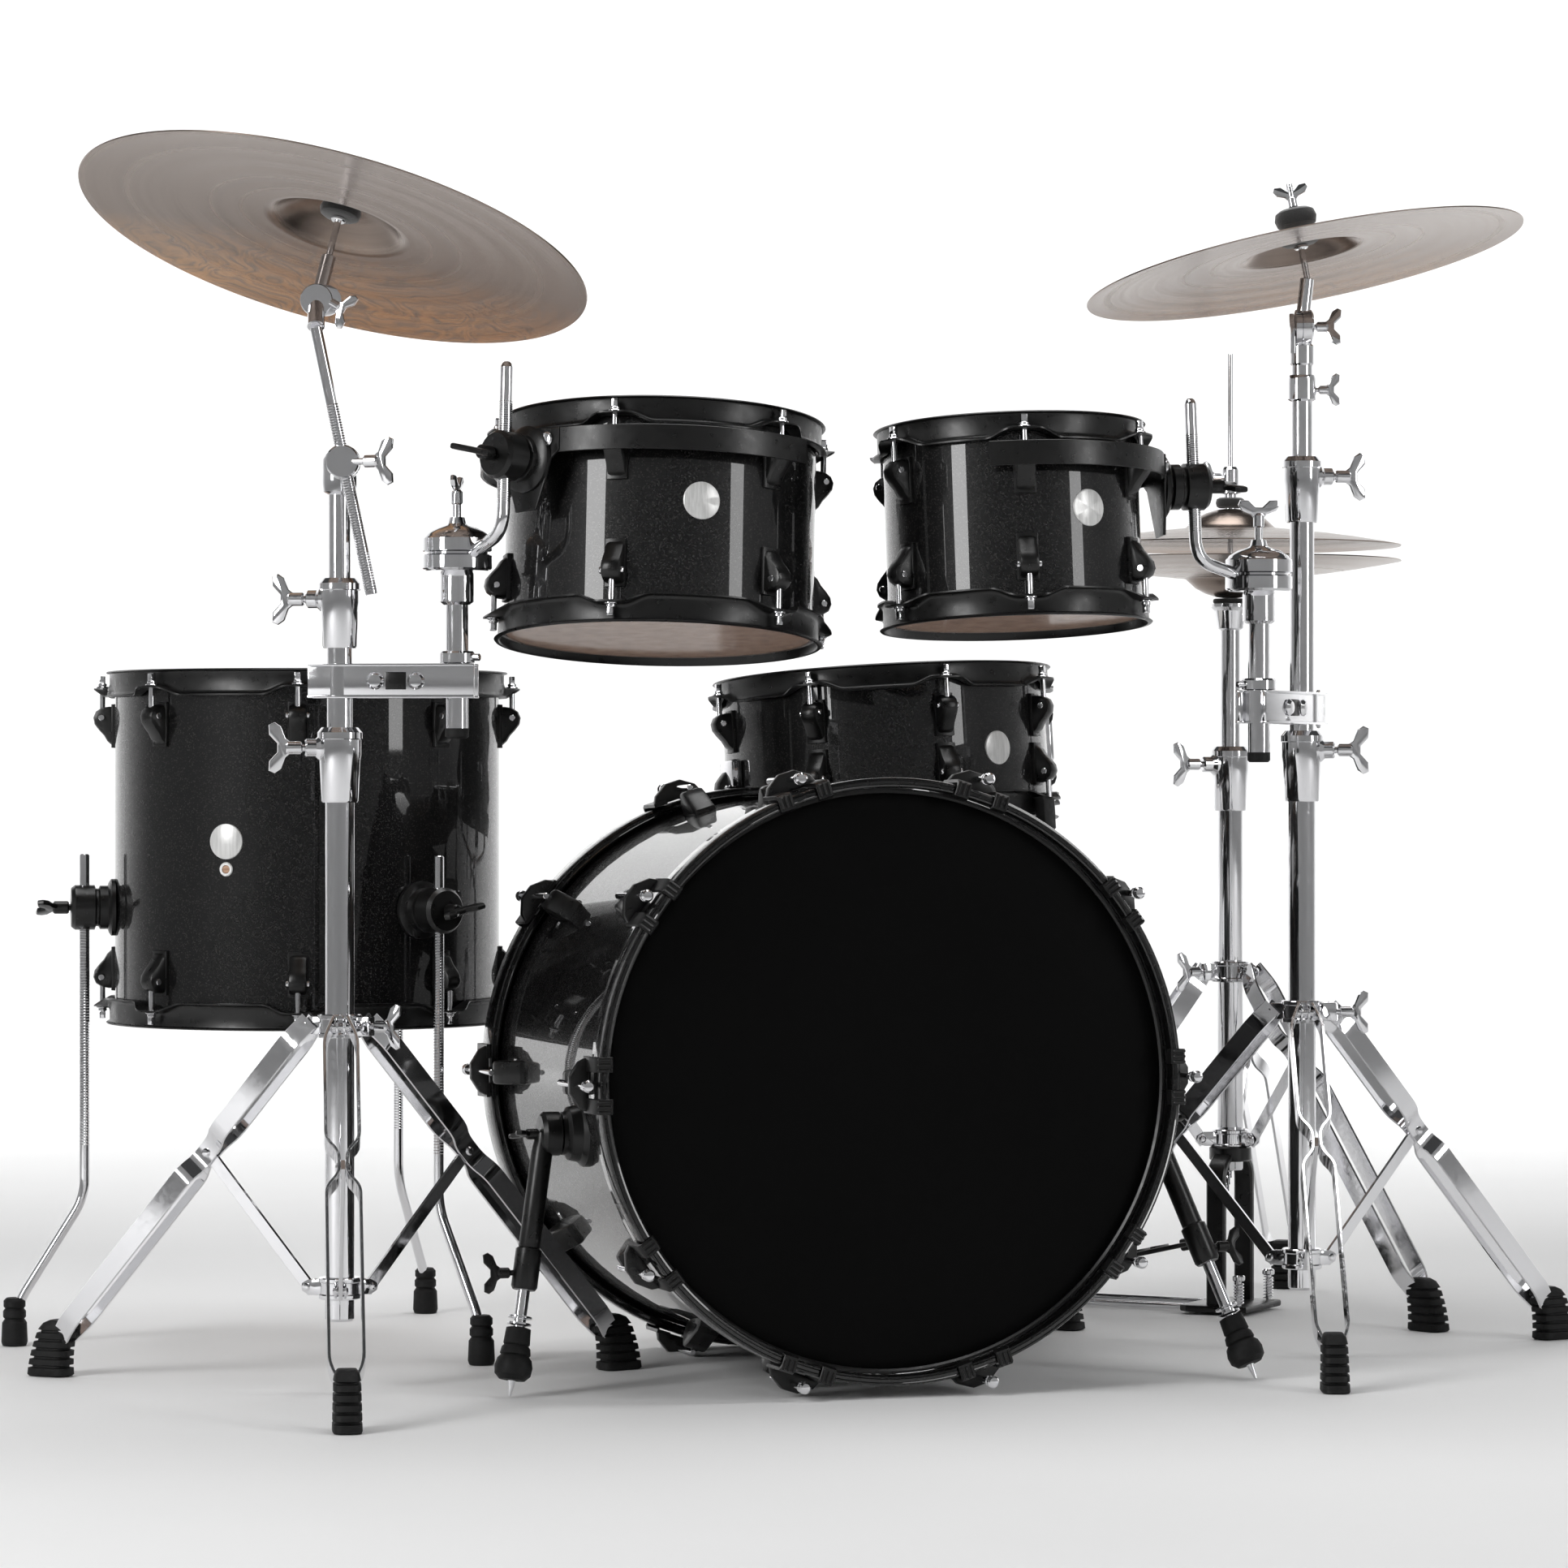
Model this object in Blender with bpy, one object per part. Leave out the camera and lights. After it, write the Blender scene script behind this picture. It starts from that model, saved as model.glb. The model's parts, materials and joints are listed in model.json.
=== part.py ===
"""Acoustic drum kit: bass drum, floor tom, two rack toms, snare drum, two cymbal stands and a hi-hat.

Metres, +Z up, floor at z = 0. The audience stands on the -Y side and the drummer sits on the +Y side.
Plan positions are given from a datum on the floor in front of the bass drum; MIDDLE moves the middle of
the kit's box onto the origin. A bearing is counted from the -Y side towards +X.
"""

import math

import bmesh
import bpy
from mathutils import Matrix, Vector

INCH = 0.0254
GAP = 0.0004
MIDDLE = Vector((0.01105, 0.49605))
DRUM_SIDES = 28
BASS_SIDES = 36
TUBE_SIDES = 12
ROD_SIDES = 8

FINISHES = {
    "black_sparkle": ((0.012, 0.012, 0.013), 0.12, 0.0),
    "black_lacquer": ((0.01, 0.01, 0.01), 0.25, 0.0),
    "black_skin": ((0.008, 0.008, 0.008), 0.45, 0.0),
    "clear_skin": ((0.62, 0.5, 0.43), 0.2, 0.0),
    "chrome": ((0.8, 0.8, 0.82), 0.08, 1.0),
    "black_metal": ((0.02, 0.02, 0.02), 0.35, 0.5),
    "bronze": ((0.45, 0.36, 0.28), 0.28, 1.0),
}

# Drums: radius and depth of the shell, then where its middle is and how it leans.
SHELL_WALL = 0.0065
HOOP_HEIGHT = 0.028
HOOP_OVERHANG = 0.008
HOOP_WALL = 0.006
HOOP_CLEARANCE = 0.003
HEAD_THICKNESS = 0.002
DRUMS = {
    "floor_tom": dict(radius=8 * INCH, depth=14 * INCH, at=(-0.5057, 0.60, 0.523), back=0.0, right=0.0),
    "left_tom": dict(radius=6 * INCH, depth=8 * INCH, at=(-0.122, 0.20, 0.836), back=6.5, right=1.0),
    "right_tom": dict(radius=5 * INCH, depth=7.25 * INCH, at=(0.228, 0.26, 0.845), back=3.8, right=-1.9),
    "snare": dict(radius=7 * INCH, depth=6 * INCH, at=(0.112, 0.82, 0.626), back=3.0, right=-3.1),
}
BASS = dict(
    radius=11 * INCH, length=0.509, hoop_width=0.038, hoop_radius=0.2925, at=(0.107, 0.074, 0.304)
)
BASS_TURN = 16.0
BASS_DROP = 1.18
BASS_SHELL_INSET = 0.026

# Bass drum spurs, in the drum's frame: along its length, up from its middle, and where the tips
# stand, sideways and along its length.
SPUR_AXIAL = 0.145
SPUR_HEIGHT = -0.051
SPUR_UPPER_LENGTH = 0.130
SPUR_FEET = {"left": (-0.357, 0.101), "right": (0.3885, 0.0456)}

# Rack tom mounts: where the rod stands round the drum, and where the ball housing is.
TOM_ROD_RADIUS = 0.00635
TOM_MOUNTS = {
    "left_tom": dict(
        bearing=-45.0, reach=0.208, height=0.050, tip=0.136, bend=-0.012, ball=(-0.3174, 0.12, 0.8137)
    ),
    "right_tom": dict(
        bearing=102.0, reach=0.189, height=0.040, tip=0.124, bend=-0.022, ball=(0.4806, 0.34, 0.802)
    ),
}
SLEEVE_RADIUS = 0.021
SLEEVE_HALF = 0.024
BALL_HOUSING_RADIUS = 0.034
HOLDER_TUBE_RADIUS = 0.0111

# Floor tom legs.
FLOOR_LEGS = {"left": -80.0, "right": 40.0, "rear": 160.0}
FLOOR_LEG_REACH = 0.235
FLOOR_LEG_FOOT_REACH = 0.31
FLOOR_LEG_TOP = 0.515
FLOOR_LEG_BEND = 0.155
FLOOR_LEG_RADIUS = 0.0053
FLOOR_BRACKET_HEIGHT = 0.46

# Cymbal stands: the tripod folds, so its leg pivots and brace pivots make isosceles triangles.
STANDS = {
    "left": dict(at=(-0.432, 0.13), bearing=6.0, second_collar=0.790, top=0.915),
    "right": dict(at=(0.535, 0.45), bearing=0.0, second_collar=0.928, top=1.045),
}
LEG_NAMES = ("front", "right", "left")
BASE_TUBE_RADIUS = 0.0143
MIDDLE_TUBE_RADIUS = 0.0127
TOP_TUBE_RADIUS = 0.0111
BASE_TUBE_BOTTOM = 0.075
BASE_TUBE_TOP = 0.645
LEG_PIVOT = (0.034, 0.355)
BRACE_PIVOT = (0.034, 0.100)
FOOT_REACH = 0.328
FOOT_HEIGHT = 0.052
STRIP = (0.019, 0.0025)
FOOT_SIZE = (0.044, 0.027)
CLAMP_HEIGHT = {"left": 0.690, "right": 0.668}

# Cymbals: radius, the bell's radius and height, the bow's height, where the bell's top is and how it leans.
CYMBALS = {
    "left": dict(
        radius=10 * INCH, bell=(0.066, 0.026), bow=0.015, at=(-0.4295, 0.14, 1.1576), back=14.1, right=13.1
    ),
    "right": dict(
        radius=9 * INCH, bell=(0.060, 0.024), bow=0.014, at=(0.5309, 0.4535, 1.1639), back=5.2, right=-10.3
    ),
}
CYMBAL_HOLE = 0.0065
CYMBAL_WALL = 0.0016
CYMBAL_SIDES = 32
CYMBAL_ROD_RADIUS = 0.0035
CYMBAL_ROD_TOP = 0.048
CYMBAL_FLOAT = -0.006

# How far below the bell's top the post's sleeve ends, and how far below it the left tilter's joint is.
POST_SLEEVE_DROP = {"left": 0.058, "right": 0.053}
LEFT_JOINT_DROP = 0.105

# The boom and the tilter, from the foot of their stands; the boom arm's ends are from its own pivot.
BOOM_PIVOT = (0.006, -0.032, 0.901)
BOOM_LOW = (0.028, -0.006, -0.128)
BOOM_HIGH = (-0.026, -0.006, 0.130)
TILTER_PIVOT = (0.0, 0.0, 1.062)
TILTER_EAR = 0.011

HIHAT = dict(at=(0.50, 0.91), bearing=42.5, radius=7.5 * INCH, lower_rim=0.8375, upper_rim=0.8555)
HIHAT_BELL = (0.050, 0.022)
HIHAT_BOW = 0.019
HIHAT_ROD_TOP = 1.072
HIHAT_LEG_PIVOT = (0.034, 0.380)
HIHAT_BRACE_PIVOT = (0.034, 0.193)
HIHAT_FOOT_REACH = 0.29
HIHAT_TUBE_TOP = 0.632
PEDAL_BEARING = -117.0
PEDAL_LENGTH = 0.26
PEDAL_SLOPE = 13.0
BASKET_BEARING = 60.0
SNARE_STAND_BEARING = 60.0
SNARE_LEG_PIVOT = (0.034, 0.320)
SNARE_BRACE_PIVOT = (0.034, 0.150)
SNARE_FOOT_REACH = 0.22
SNARE_HUB_DROP = 0.045
COLLAR_HALF = 0.014

UP = Vector((0, 0, 1))


# ---------------------------------------------------------------- shapes


def place(at, back=0.0, right=0.0):
    """The frame of a unit: its plan position and height, leaning back and to the right by degrees."""
    x, y, z = (*at, 0.0)[:3]
    return (
        Matrix.Translation((x - MIDDLE.x, y - MIDDLE.y, z))
        @ Matrix.Rotation(math.radians(right), 4, "Y")
        @ Matrix.Rotation(math.radians(-back), 4, "X")
    )


def facing(bearing):
    """Turns local +X to a bearing."""
    return Matrix.Rotation(math.radians(bearing - 90.0), 4, "Z")


def shift(x, y, z):
    return Matrix.Translation((x, y, z))


def rod(start, end, radius, sides=TUBE_SIDES, end_radius=None):
    """A capped cylinder or cone from start to end."""
    start, end = Vector(start), Vector(end)
    along = end - start
    matrix = Matrix.Translation((start + end) / 2) @ UP.rotation_difference(along).to_matrix().to_4x4()
    shape = bmesh.new()
    bmesh.ops.create_cone(
        shape,
        cap_ends=True,
        segments=sides,
        radius1=radius,
        radius2=radius if end_radius is None else end_radius,
        depth=along.length,
        matrix=matrix,
    )
    return shape


def block(centre, size, turn=None):
    """A box of the given size about a centre."""
    shape = bmesh.new()
    matrix = Matrix.Translation(centre) @ (turn or Matrix()) @ Matrix.Diagonal((*size, 1.0))
    bmesh.ops.create_cube(shape, size=1.0, matrix=matrix)
    return shape


def turned(profile, sides=TUBE_SIDES):
    """A ring: a closed profile of (radius, z) points, none on the axis, turned about Z."""
    shape = bmesh.new()
    rows = []
    for i in range(sides):
        angle = 2 * math.pi * i / sides
        rows.append([shape.verts.new((r * math.cos(angle), r * math.sin(angle), z)) for r, z in profile])
    for row, following in zip(rows, rows[1:] + rows[:1]):
        for j in range(len(profile)):
            k = (j + 1) % len(profile)
            shape.faces.new((row[j], following[j], following[k], row[k]))
    bmesh.ops.recalc_face_normals(shape, faces=shape.faces)
    return shape


def tube(radius, wall, bottom, top, sides=TUBE_SIDES):
    inner = radius - wall
    return turned(((inner, bottom), (radius, bottom), (radius, top), (inner, top)), sides)


def sweep(points, outline, side):
    """A flat outline carried along points; its first axis stays as close to side as it can."""
    points = [Vector(point) for point in points]
    shape = bmesh.new()
    rows = []
    for i, point in enumerate(points):
        before = points[max(i - 1, 0)]
        after = points[min(i + 1, len(points) - 1)]
        into = (point - before).normalized() if i else Vector()
        out = (after - point).normalized() if i < len(points) - 1 else Vector()
        tangent = (into + out).normalized()
        across = (Vector(side) - Vector(side).dot(tangent) * tangent).normalized()
        normal = tangent.cross(across)
        rows.append([shape.verts.new(point + u * across + v * normal) for u, v in outline])
    for row, following in zip(rows, rows[1:]):
        for j in range(len(outline)):
            k = (j + 1) % len(outline)
            shape.faces.new((row[j], row[k], following[k], following[j]))
    shape.faces.new(rows[0][::-1])
    shape.faces.new(rows[-1])
    bmesh.ops.recalc_face_normals(shape, faces=shape.faces)
    return shape


def circle(radius, sides=ROD_SIDES):
    return [
        (radius * math.cos(2 * math.pi * i / sides), radius * math.sin(2 * math.pi * i / sides))
        for i in range(sides)
    ]


def rectangle(width, height):
    x, y = width / 2, height / 2
    return [(-x, -y), (x, -y), (x, y), (-x, y)]


def moved(shape, matrix):
    shape.transform(matrix)
    return shape


# ---------------------------------------------------------------- objects


def clear_scene():
    for found in list(bpy.data.objects):
        bpy.data.objects.remove(found, do_unlink=True)


def finish(name):
    """The Principled material of a finish, made once."""
    if name in bpy.data.materials:
        return bpy.data.materials[name]
    colour, roughness, metallic = FINISHES[name]
    material = bpy.data.materials.new(name)
    material.use_nodes = True
    shader = material.node_tree.nodes["Principled BSDF"]
    shader.inputs["Base Color"].default_value = (*colour, 1.0)
    shader.inputs["Roughness"].default_value = roughness
    shader.inputs["Metallic"].default_value = metallic
    material.diffuse_color = (*colour, 1.0)
    return material


def unit(name, matrix):
    """An empty that the pieces of one free-standing unit are parented to."""
    empty = bpy.data.objects.new(name, None)
    empty.matrix_world = matrix
    bpy.context.scene.collection.objects.link(empty)
    return empty


def mesh_object(name, shapes, parent, matrix):
    whole = bpy.data.meshes.new(name)
    joined = bmesh.new()
    for shape in shapes:
        part = bpy.data.meshes.new("shape")
        shape.to_mesh(part)
        shape.free()
        joined.from_mesh(part)
        bpy.data.meshes.remove(part)
    joined.to_mesh(whole)
    joined.free()
    made = bpy.data.objects.new(name, whole)
    bpy.context.scene.collection.objects.link(made)
    made.parent = parent
    made.matrix_local = matrix
    return made


def combine(body, operation, shapes, matrix):
    """Joins shapes to the body, or cuts them from it, with a hidden helper object."""
    helper = mesh_object(f"{body.name}_{operation.lower()}", shapes, body.parent, matrix)
    helper.hide_render = True
    helper.display_type = "WIRE"
    modifier = body.modifiers.new(operation.title(), "BOOLEAN")
    modifier.operation = operation
    modifier.object = helper
    modifier.use_self = len(shapes) > 1


def solid(name, look, parent, shapes, matrix=None, cuts=()):
    """One closed body: the first shape with the others joined to it, then the cuts taken away."""
    matrix = matrix or Matrix()
    body = mesh_object(name, shapes[:1], parent, matrix)
    body.data.materials.append(finish(look))
    body.data.shade_smooth()
    body.data.set_sharp_from_angle(angle=math.radians(40))
    if shapes[1:]:
        combine(body, "UNION", shapes[1:], matrix)
    if cuts:
        combine(body, "DIFFERENCE", cuts, matrix)
    return body


# ---------------------------------------------------------------- drums


def drum(name, extras=(), cuts=(), heads=("batter", "resonant")):
    """A shell with two hoops and its heads, standing along the unit's Z."""
    sizes = DRUMS[name]
    radius, half = sizes["radius"], sizes["depth"] / 2
    home = unit(f"{name}_unit", place(sizes["at"], sizes["back"], sizes["right"]))
    shell = tube(radius, SHELL_WALL, -half, half, DRUM_SIDES)
    solid(f"{name}_shell", "black_sparkle", home, [shell, *extras], cuts=cuts)
    hoop_radius = radius + HOOP_CLEARANCE + HOOP_WALL
    for side, sign in (("top", 1), ("bottom", -1)):
        edge = sign * (half + HOOP_OVERHANG)
        low, high = sorted((edge, edge - sign * HOOP_HEIGHT))
        hoop = tube(hoop_radius, HOOP_WALL, low, high, DRUM_SIDES)
        solid(f"{name}_{side}_hoop", "black_metal", home, [hoop])
    for head in heads:
        sign = 1 if head == "batter" else -1
        near, far = sorted((sign * (half + GAP), sign * (half + GAP + HEAD_THICKNESS)))
        skin = rod((0, 0, near), (0, 0, far), radius + HOOP_CLEARANCE / 2, DRUM_SIDES)
        solid(f"{name}_{head}_head", "clear_skin", home, [skin])
    return home


def rack_tom(name):
    """A rack tom with its bracket, which slides on the rod of the tom holder."""
    sizes, mount = DRUMS[name], TOM_MOUNTS[name]
    turn = facing(mount["bearing"])
    inner, reach, height = sizes["radius"] - SHELL_WALL / 2, mount["reach"], mount["height"]
    stub = rod((inner, 0, height), (reach - SLEEVE_RADIUS / 2, 0, height), SLEEVE_RADIUS * 0.8)
    sleeve = rod((reach, 0, height - SLEEVE_HALF), (reach, 0, height + SLEEVE_HALF), SLEEVE_RADIUS)
    bore = rod((reach, 0, height - 0.05), (reach, 0, height + 0.05), TOM_ROD_RADIUS + GAP)
    drum(name, [moved(stub, turn), moved(sleeve, turn)], [moved(bore, turn)])


def tom_holder(name, clamp_height):
    """The post in the stand's clamp, with its ball housing, and the bent rod that the tom hangs on."""
    sizes, mount = DRUMS[name], TOM_MOUNTS[name]
    ball = Vector(mount["ball"])
    home = unit(f"{name}_ball", place(ball))
    post_low = clamp_height - ball.z - 0.056
    solid(
        f"{name}_holder",
        "chrome",
        home,
        [
            rod((0, 0, post_low), (0, 0, -0.012), HOLDER_TUBE_RADIUS),
            rod((0, 0, -0.017), (0, 0, 0.017), BALL_HOUSING_RADIUS, 16),
            rod((0, 0, -0.048), (0, 0, -0.015), 0.0165),
            rod((0, 0, 0.015), (0, 0, 0.030), 0.024, 16, 0.012),
            rod((0, 0, 0.028), (0, 0, 0.085), 0.006, ROD_SIDES),
        ],
    )
    to_tom = home.matrix_world.inverted() @ place(sizes["at"], sizes["back"], sizes["right"])
    to_ball = to_tom @ facing(mount["bearing"])
    upright = [to_ball @ Vector((mount["reach"], 0, z)) for z in (mount["tip"], mount["bend"])]
    corner = to_ball @ Vector((mount["reach"], 0, mount["bend"] - 0.012))
    inwards = Vector((-corner.x, -corner.y, 0)).normalized()
    knee = corner + 0.012 * inwards + Vector((0, 0, -0.002))
    socket = -(BALL_HOUSING_RADIUS + 0.003) * inwards
    socket.z = 0.0
    sideways = UP.cross(inwards)
    bent = sweep([*upright, knee, socket], circle(TOM_ROD_RADIUS, TUBE_SIDES), sideways)
    solid(f"{name}_l_rod", "chrome", home, [bent])


def bass_drum():
    """The bass drum lies along its own local Y, front face at the origin, hoops held by claws."""
    matrix = (
        place(BASS["at"])
        @ Matrix.Rotation(math.radians(BASS_TURN), 4, "Z")
        @ Matrix.Rotation(math.radians(-BASS_DROP), 4, "X")
    )
    home = unit("bass_drum_unit", matrix)
    lie = Matrix.Rotation(math.radians(-90), 4, "X")
    length, radius, width = BASS["length"], BASS["radius"], BASS["hoop_width"]
    brackets = []
    for sign in (-1, 1):
        foot = Vector((sign * (radius - 0.01), SPUR_AXIAL, SPUR_HEIGHT))
        brackets.append(rod(foot, foot + Vector((sign * 0.026, 0, 0)), 0.030))
    shell = moved(tube(radius, 0.008, BASS_SHELL_INSET, length - BASS_SHELL_INSET, BASS_SIDES), lie)
    solid("bass_shell", "black_sparkle", home, [shell, *brackets])
    for side, low in (("front", 0.0), ("rear", length - width)):
        hoop = tube(BASS["hoop_radius"], 0.0095, low, low + width, BASS_SIDES)
        solid(f"bass_{side}_hoop", "black_lacquer", home, [moved(hoop, lie)])
    head_radius = radius + 0.002
    for side, low in (
        ("front", BASS_SHELL_INSET - GAP - HEAD_THICKNESS),
        ("rear", length - BASS_SHELL_INSET + GAP),
    ):
        head = rod((0, low, 0), (0, low + HEAD_THICKNESS, 0), head_radius, BASS_SIDES)
        solid(f"bass_{side}_head", "black_skin", home, [head])
    for name, sign in (("left", -1), ("right", 1)):
        spur(name, sign, home)


def spur(name, sign, home):
    """A telescopic leg that swings in its bracket on the side of the bass shell."""
    pivot = Vector((sign * (BASS["radius"] + 0.033), SPUR_AXIAL, SPUR_HEIGHT))
    floor = home.matrix_world.inverted() @ Vector((0, 0, 0))
    down = (home.matrix_world.inverted().to_3x3() @ Vector((0, 0, -1))).normalized()
    tip = Vector((*SPUR_FEET[name], 0))
    tip += down * (tip - floor).dot(-down)
    foot = tip - pivot
    line = foot.normalized()
    length = foot.length
    pad = line * (length - 0.004)
    pieces = [
        rod((-sign * 0.016, 0, 0), (sign * 0.014, 0, 0), 0.020),
        rod((0, 0, 0), line * SPUR_UPPER_LENGTH, 0.0095),
        rod(line * (SPUR_UPPER_LENGTH - 0.010), line * (length - 0.03), 0.0065, ROD_SIDES),
        rod(line * (length - 0.058), pad - line * 0.006, 0.012, ROD_SIDES, 0.019),
        rod(pad - line * 0.007, foot, 0.006, ROD_SIDES, 0.002),
    ]
    solid(f"bass_spur_{name}", "black_metal", home, pieces, Matrix.Translation(pivot))


def floor_tom():
    sizes = DRUMS["floor_tom"]
    middle = sizes["at"][2]
    height = FLOOR_BRACKET_HEIGHT - middle
    inner = sizes["radius"] - SHELL_WALL / 2
    stubs, bores = [], []
    for bearing in FLOOR_LEGS.values():
        turn = facing(bearing)
        long = FLOOR_LEG_REACH - inner + 0.024
        stub = block(((inner + FLOOR_LEG_REACH) / 2, 0, height), (long, 0.036, 0.046))
        low, high = (FLOOR_LEG_REACH, 0, height - 0.05), (FLOOR_LEG_REACH, 0, height + 0.05)
        bore = rod(low, high, FLOOR_LEG_RADIUS + GAP, ROD_SIDES)
        stubs.append(moved(moved(stub, shift(0.012, 0, 0)), turn))
        bores.append(moved(bore, turn))
    home = drum("floor_tom", stubs, bores)
    for name, bearing in FLOOR_LEGS.items():
        out = FLOOR_LEG_FOOT_REACH - FLOOR_LEG_REACH
        top, bend, foot = FLOOR_LEG_TOP - middle, FLOOR_LEG_BEND - middle, -middle
        points = [(0, 0, top), (0, 0, bend), (out - 0.006, 0, foot + 0.045), (out - 0.003, 0, foot + 0.012)]
        rubber = rod((out, 0, foot + 0.04), (out, 0, foot), 0.010, ROD_SIDES, 0.012)
        leg = sweep(points, circle(FLOOR_LEG_RADIUS), (0, 1, 0))
        seat = facing(bearing) @ shift(FLOOR_LEG_REACH, 0, 0)
        solid(f"floor_tom_leg_{name}", "chrome", home, [leg, rubber], seat)


# ---------------------------------------------------------------- stands


def leg_shapes(pivot, brace_pivot, foot_reach, pinch=0.00375):
    """A double-strip leg from its pivot, with its rubber foot, in the frame of the pivot: +X is outwards."""
    reach = foot_reach - pivot[0]
    drop = pivot[1]
    end = Vector((reach, 0, 0.022 - drop))
    line = end.normalized()
    angle = math.atan2(line.x, -line.z)
    middle = (pivot[1] - brace_pivot[1]) / 2 / math.cos(angle)
    across = Vector((line.z, 0, -line.x))
    stations = (
        (-0.006, 0.0067),
        (0.020, 0.016),
        (middle - 0.028, 0.016),
        (middle - 0.012, pinch),
        (middle + 0.012, pinch),
        (middle + 0.028, 0.016),
        (end.length - 0.045, 0.016),
        (end.length - 0.012, 0.003),
    )
    shapes = []
    for sign in (-1, 1):
        points = [line * distance + Vector((0, sign * offset, 0)) for distance, offset in stations]
        shapes.append(sweep(points, rectangle(*STRIP), across))
    foot = block((reach, 0, FOOT_HEIGHT / 2 - drop), (*FOOT_SIZE, FOOT_HEIGHT))
    return [foot, *shapes], angle, middle


def brace_shape(brace_pivot, angle, middle):
    line = Vector((math.sin(angle), 0, math.cos(angle)))
    return sweep([line * -0.006, line * (middle + 0.006)], rectangle(0.011, 0.004), (line.z, 0, -line.x))


def lower_collar_tabs(brace_pivot, bearing):
    shapes = []
    for i in range(3):
        turn = facing(bearing + 120 * i)
        for sign in (-1, 1):
            tab = block((brace_pivot[0] - 0.004, sign * 0.0040, brace_pivot[1]), (0.022, 0.0028, 0.016))
            shapes.append(moved(tab, turn))
    return shapes


def folding_tripod(name, home, bearing):
    """The base tube with its fixed lower collar, the sliding collar, three legs and three braces."""
    tabs = lower_collar_tabs(BRACE_PIVOT, bearing)
    bore = rod((0, 0, BASE_TUBE_BOTTOM + 0.05), (0, 0, 1.0), MIDDLE_TUBE_RADIUS + GAP)
    pieces = [
        rod((0, 0, BASE_TUBE_BOTTOM), (0, 0, BASE_TUBE_TOP - 0.02), BASE_TUBE_RADIUS),
        rod((0, 0, BRACE_PIVOT[1] - 0.012), (0, 0, BRACE_PIVOT[1] + 0.012), 0.021),
        rod((0, 0, BASE_TUBE_TOP - 0.075), (0, 0, BASE_TUBE_TOP), 0.020),
        *tabs,
    ]
    solid(f"{name}_base_tube", "chrome", home, pieces, cuts=[bore])
    collar = [rod((0, 0, -0.012), (0, 0, 0.012), 0.023)]
    for i in range(3):
        tab = block((LEG_PIVOT[0] - 0.005, 0, 0), (0.022, 0.010, 0.018))
        collar.append(moved(tab, facing(bearing + 120 * i)))
    bore = rod((0, 0, -0.03), (0, 0, 0.03), BASE_TUBE_RADIUS + GAP)
    solid(f"{name}_leg_collar", "chrome", home, collar, shift(0, 0, LEG_PIVOT[1]), cuts=[bore])
    for i, leg_name in enumerate(LEG_NAMES):
        turn = facing(bearing + 120 * i)
        shapes, angle, middle = leg_shapes(LEG_PIVOT, BRACE_PIVOT, FOOT_REACH)
        solid(f"{name}_leg_{leg_name}", "chrome", home, shapes, turn @ shift(LEG_PIVOT[0], 0, LEG_PIVOT[1]))
        brace = brace_shape(BRACE_PIVOT, angle, middle)
        hinge = turn @ shift(BRACE_PIVOT[0], 0, BRACE_PIVOT[1])
        solid(f"{name}_brace_{leg_name}", "chrome", home, [brace], hinge)


def fixed_tripod(pivot, brace_pivot, foot_reach, bearing):
    """Legs and braces in one piece with their stand, for the stands whose fold isn't a joint."""
    shapes = []
    for i in range(3):
        turn = facing(bearing + 120 * i)
        pieces, angle, middle = leg_shapes(pivot, brace_pivot, foot_reach)
        pieces = [moved(piece, shift(pivot[0], 0, pivot[1])) for piece in pieces]
        brace = moved(brace_shape(brace_pivot, angle, middle), shift(brace_pivot[0], 0, brace_pivot[1]))
        pin = rod((pivot[0], -0.010, pivot[1]), (pivot[0], 0.010, pivot[1]), 0.004, ROD_SIDES)
        knee = Vector((pivot[0] + middle * math.sin(angle), 0, pivot[1] - middle * math.cos(angle)))
        bolt = rod(knee - Vector((0, 0.007, 0)), knee + Vector((0, 0.007, 0)), 0.004, ROD_SIDES)
        lug = block((pivot[0] - 0.008, 0, pivot[1]), (0.026, 0.010, 0.018))
        foot_lug = block((brace_pivot[0] - 0.008, 0, brace_pivot[1]), (0.026, 0.008, 0.014))
        shapes += [moved(piece, turn) for piece in (*pieces, brace, pin, bolt, lug, foot_lug)]
    return shapes


def collar_at(height, radius):
    return rod((0, 0, height - COLLAR_HALF), (0, 0, height + COLLAR_HALF), radius)


def multi_clamp(stand, ball, height):
    """The plates that hold a tom holder's post beside the stand; the post slides in the bore."""
    post = Vector(ball[:2]) - Vector(stand)
    turn = Matrix.Rotation(math.atan2(post.y, post.x), 4, "Z")
    reach = post.length
    plate = block((reach / 2, 0, height), (reach + 0.062, 0.034, 0.034))
    window = block((reach / 2, 0, height), (reach * 0.34, 0.05, 0.016))
    bore = rod((reach, 0, height - 0.03), (reach, 0, height + 0.03), HOLDER_TUBE_RADIUS + GAP)
    return moved(plate, turn), [moved(window, turn), moved(bore, turn)]


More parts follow.
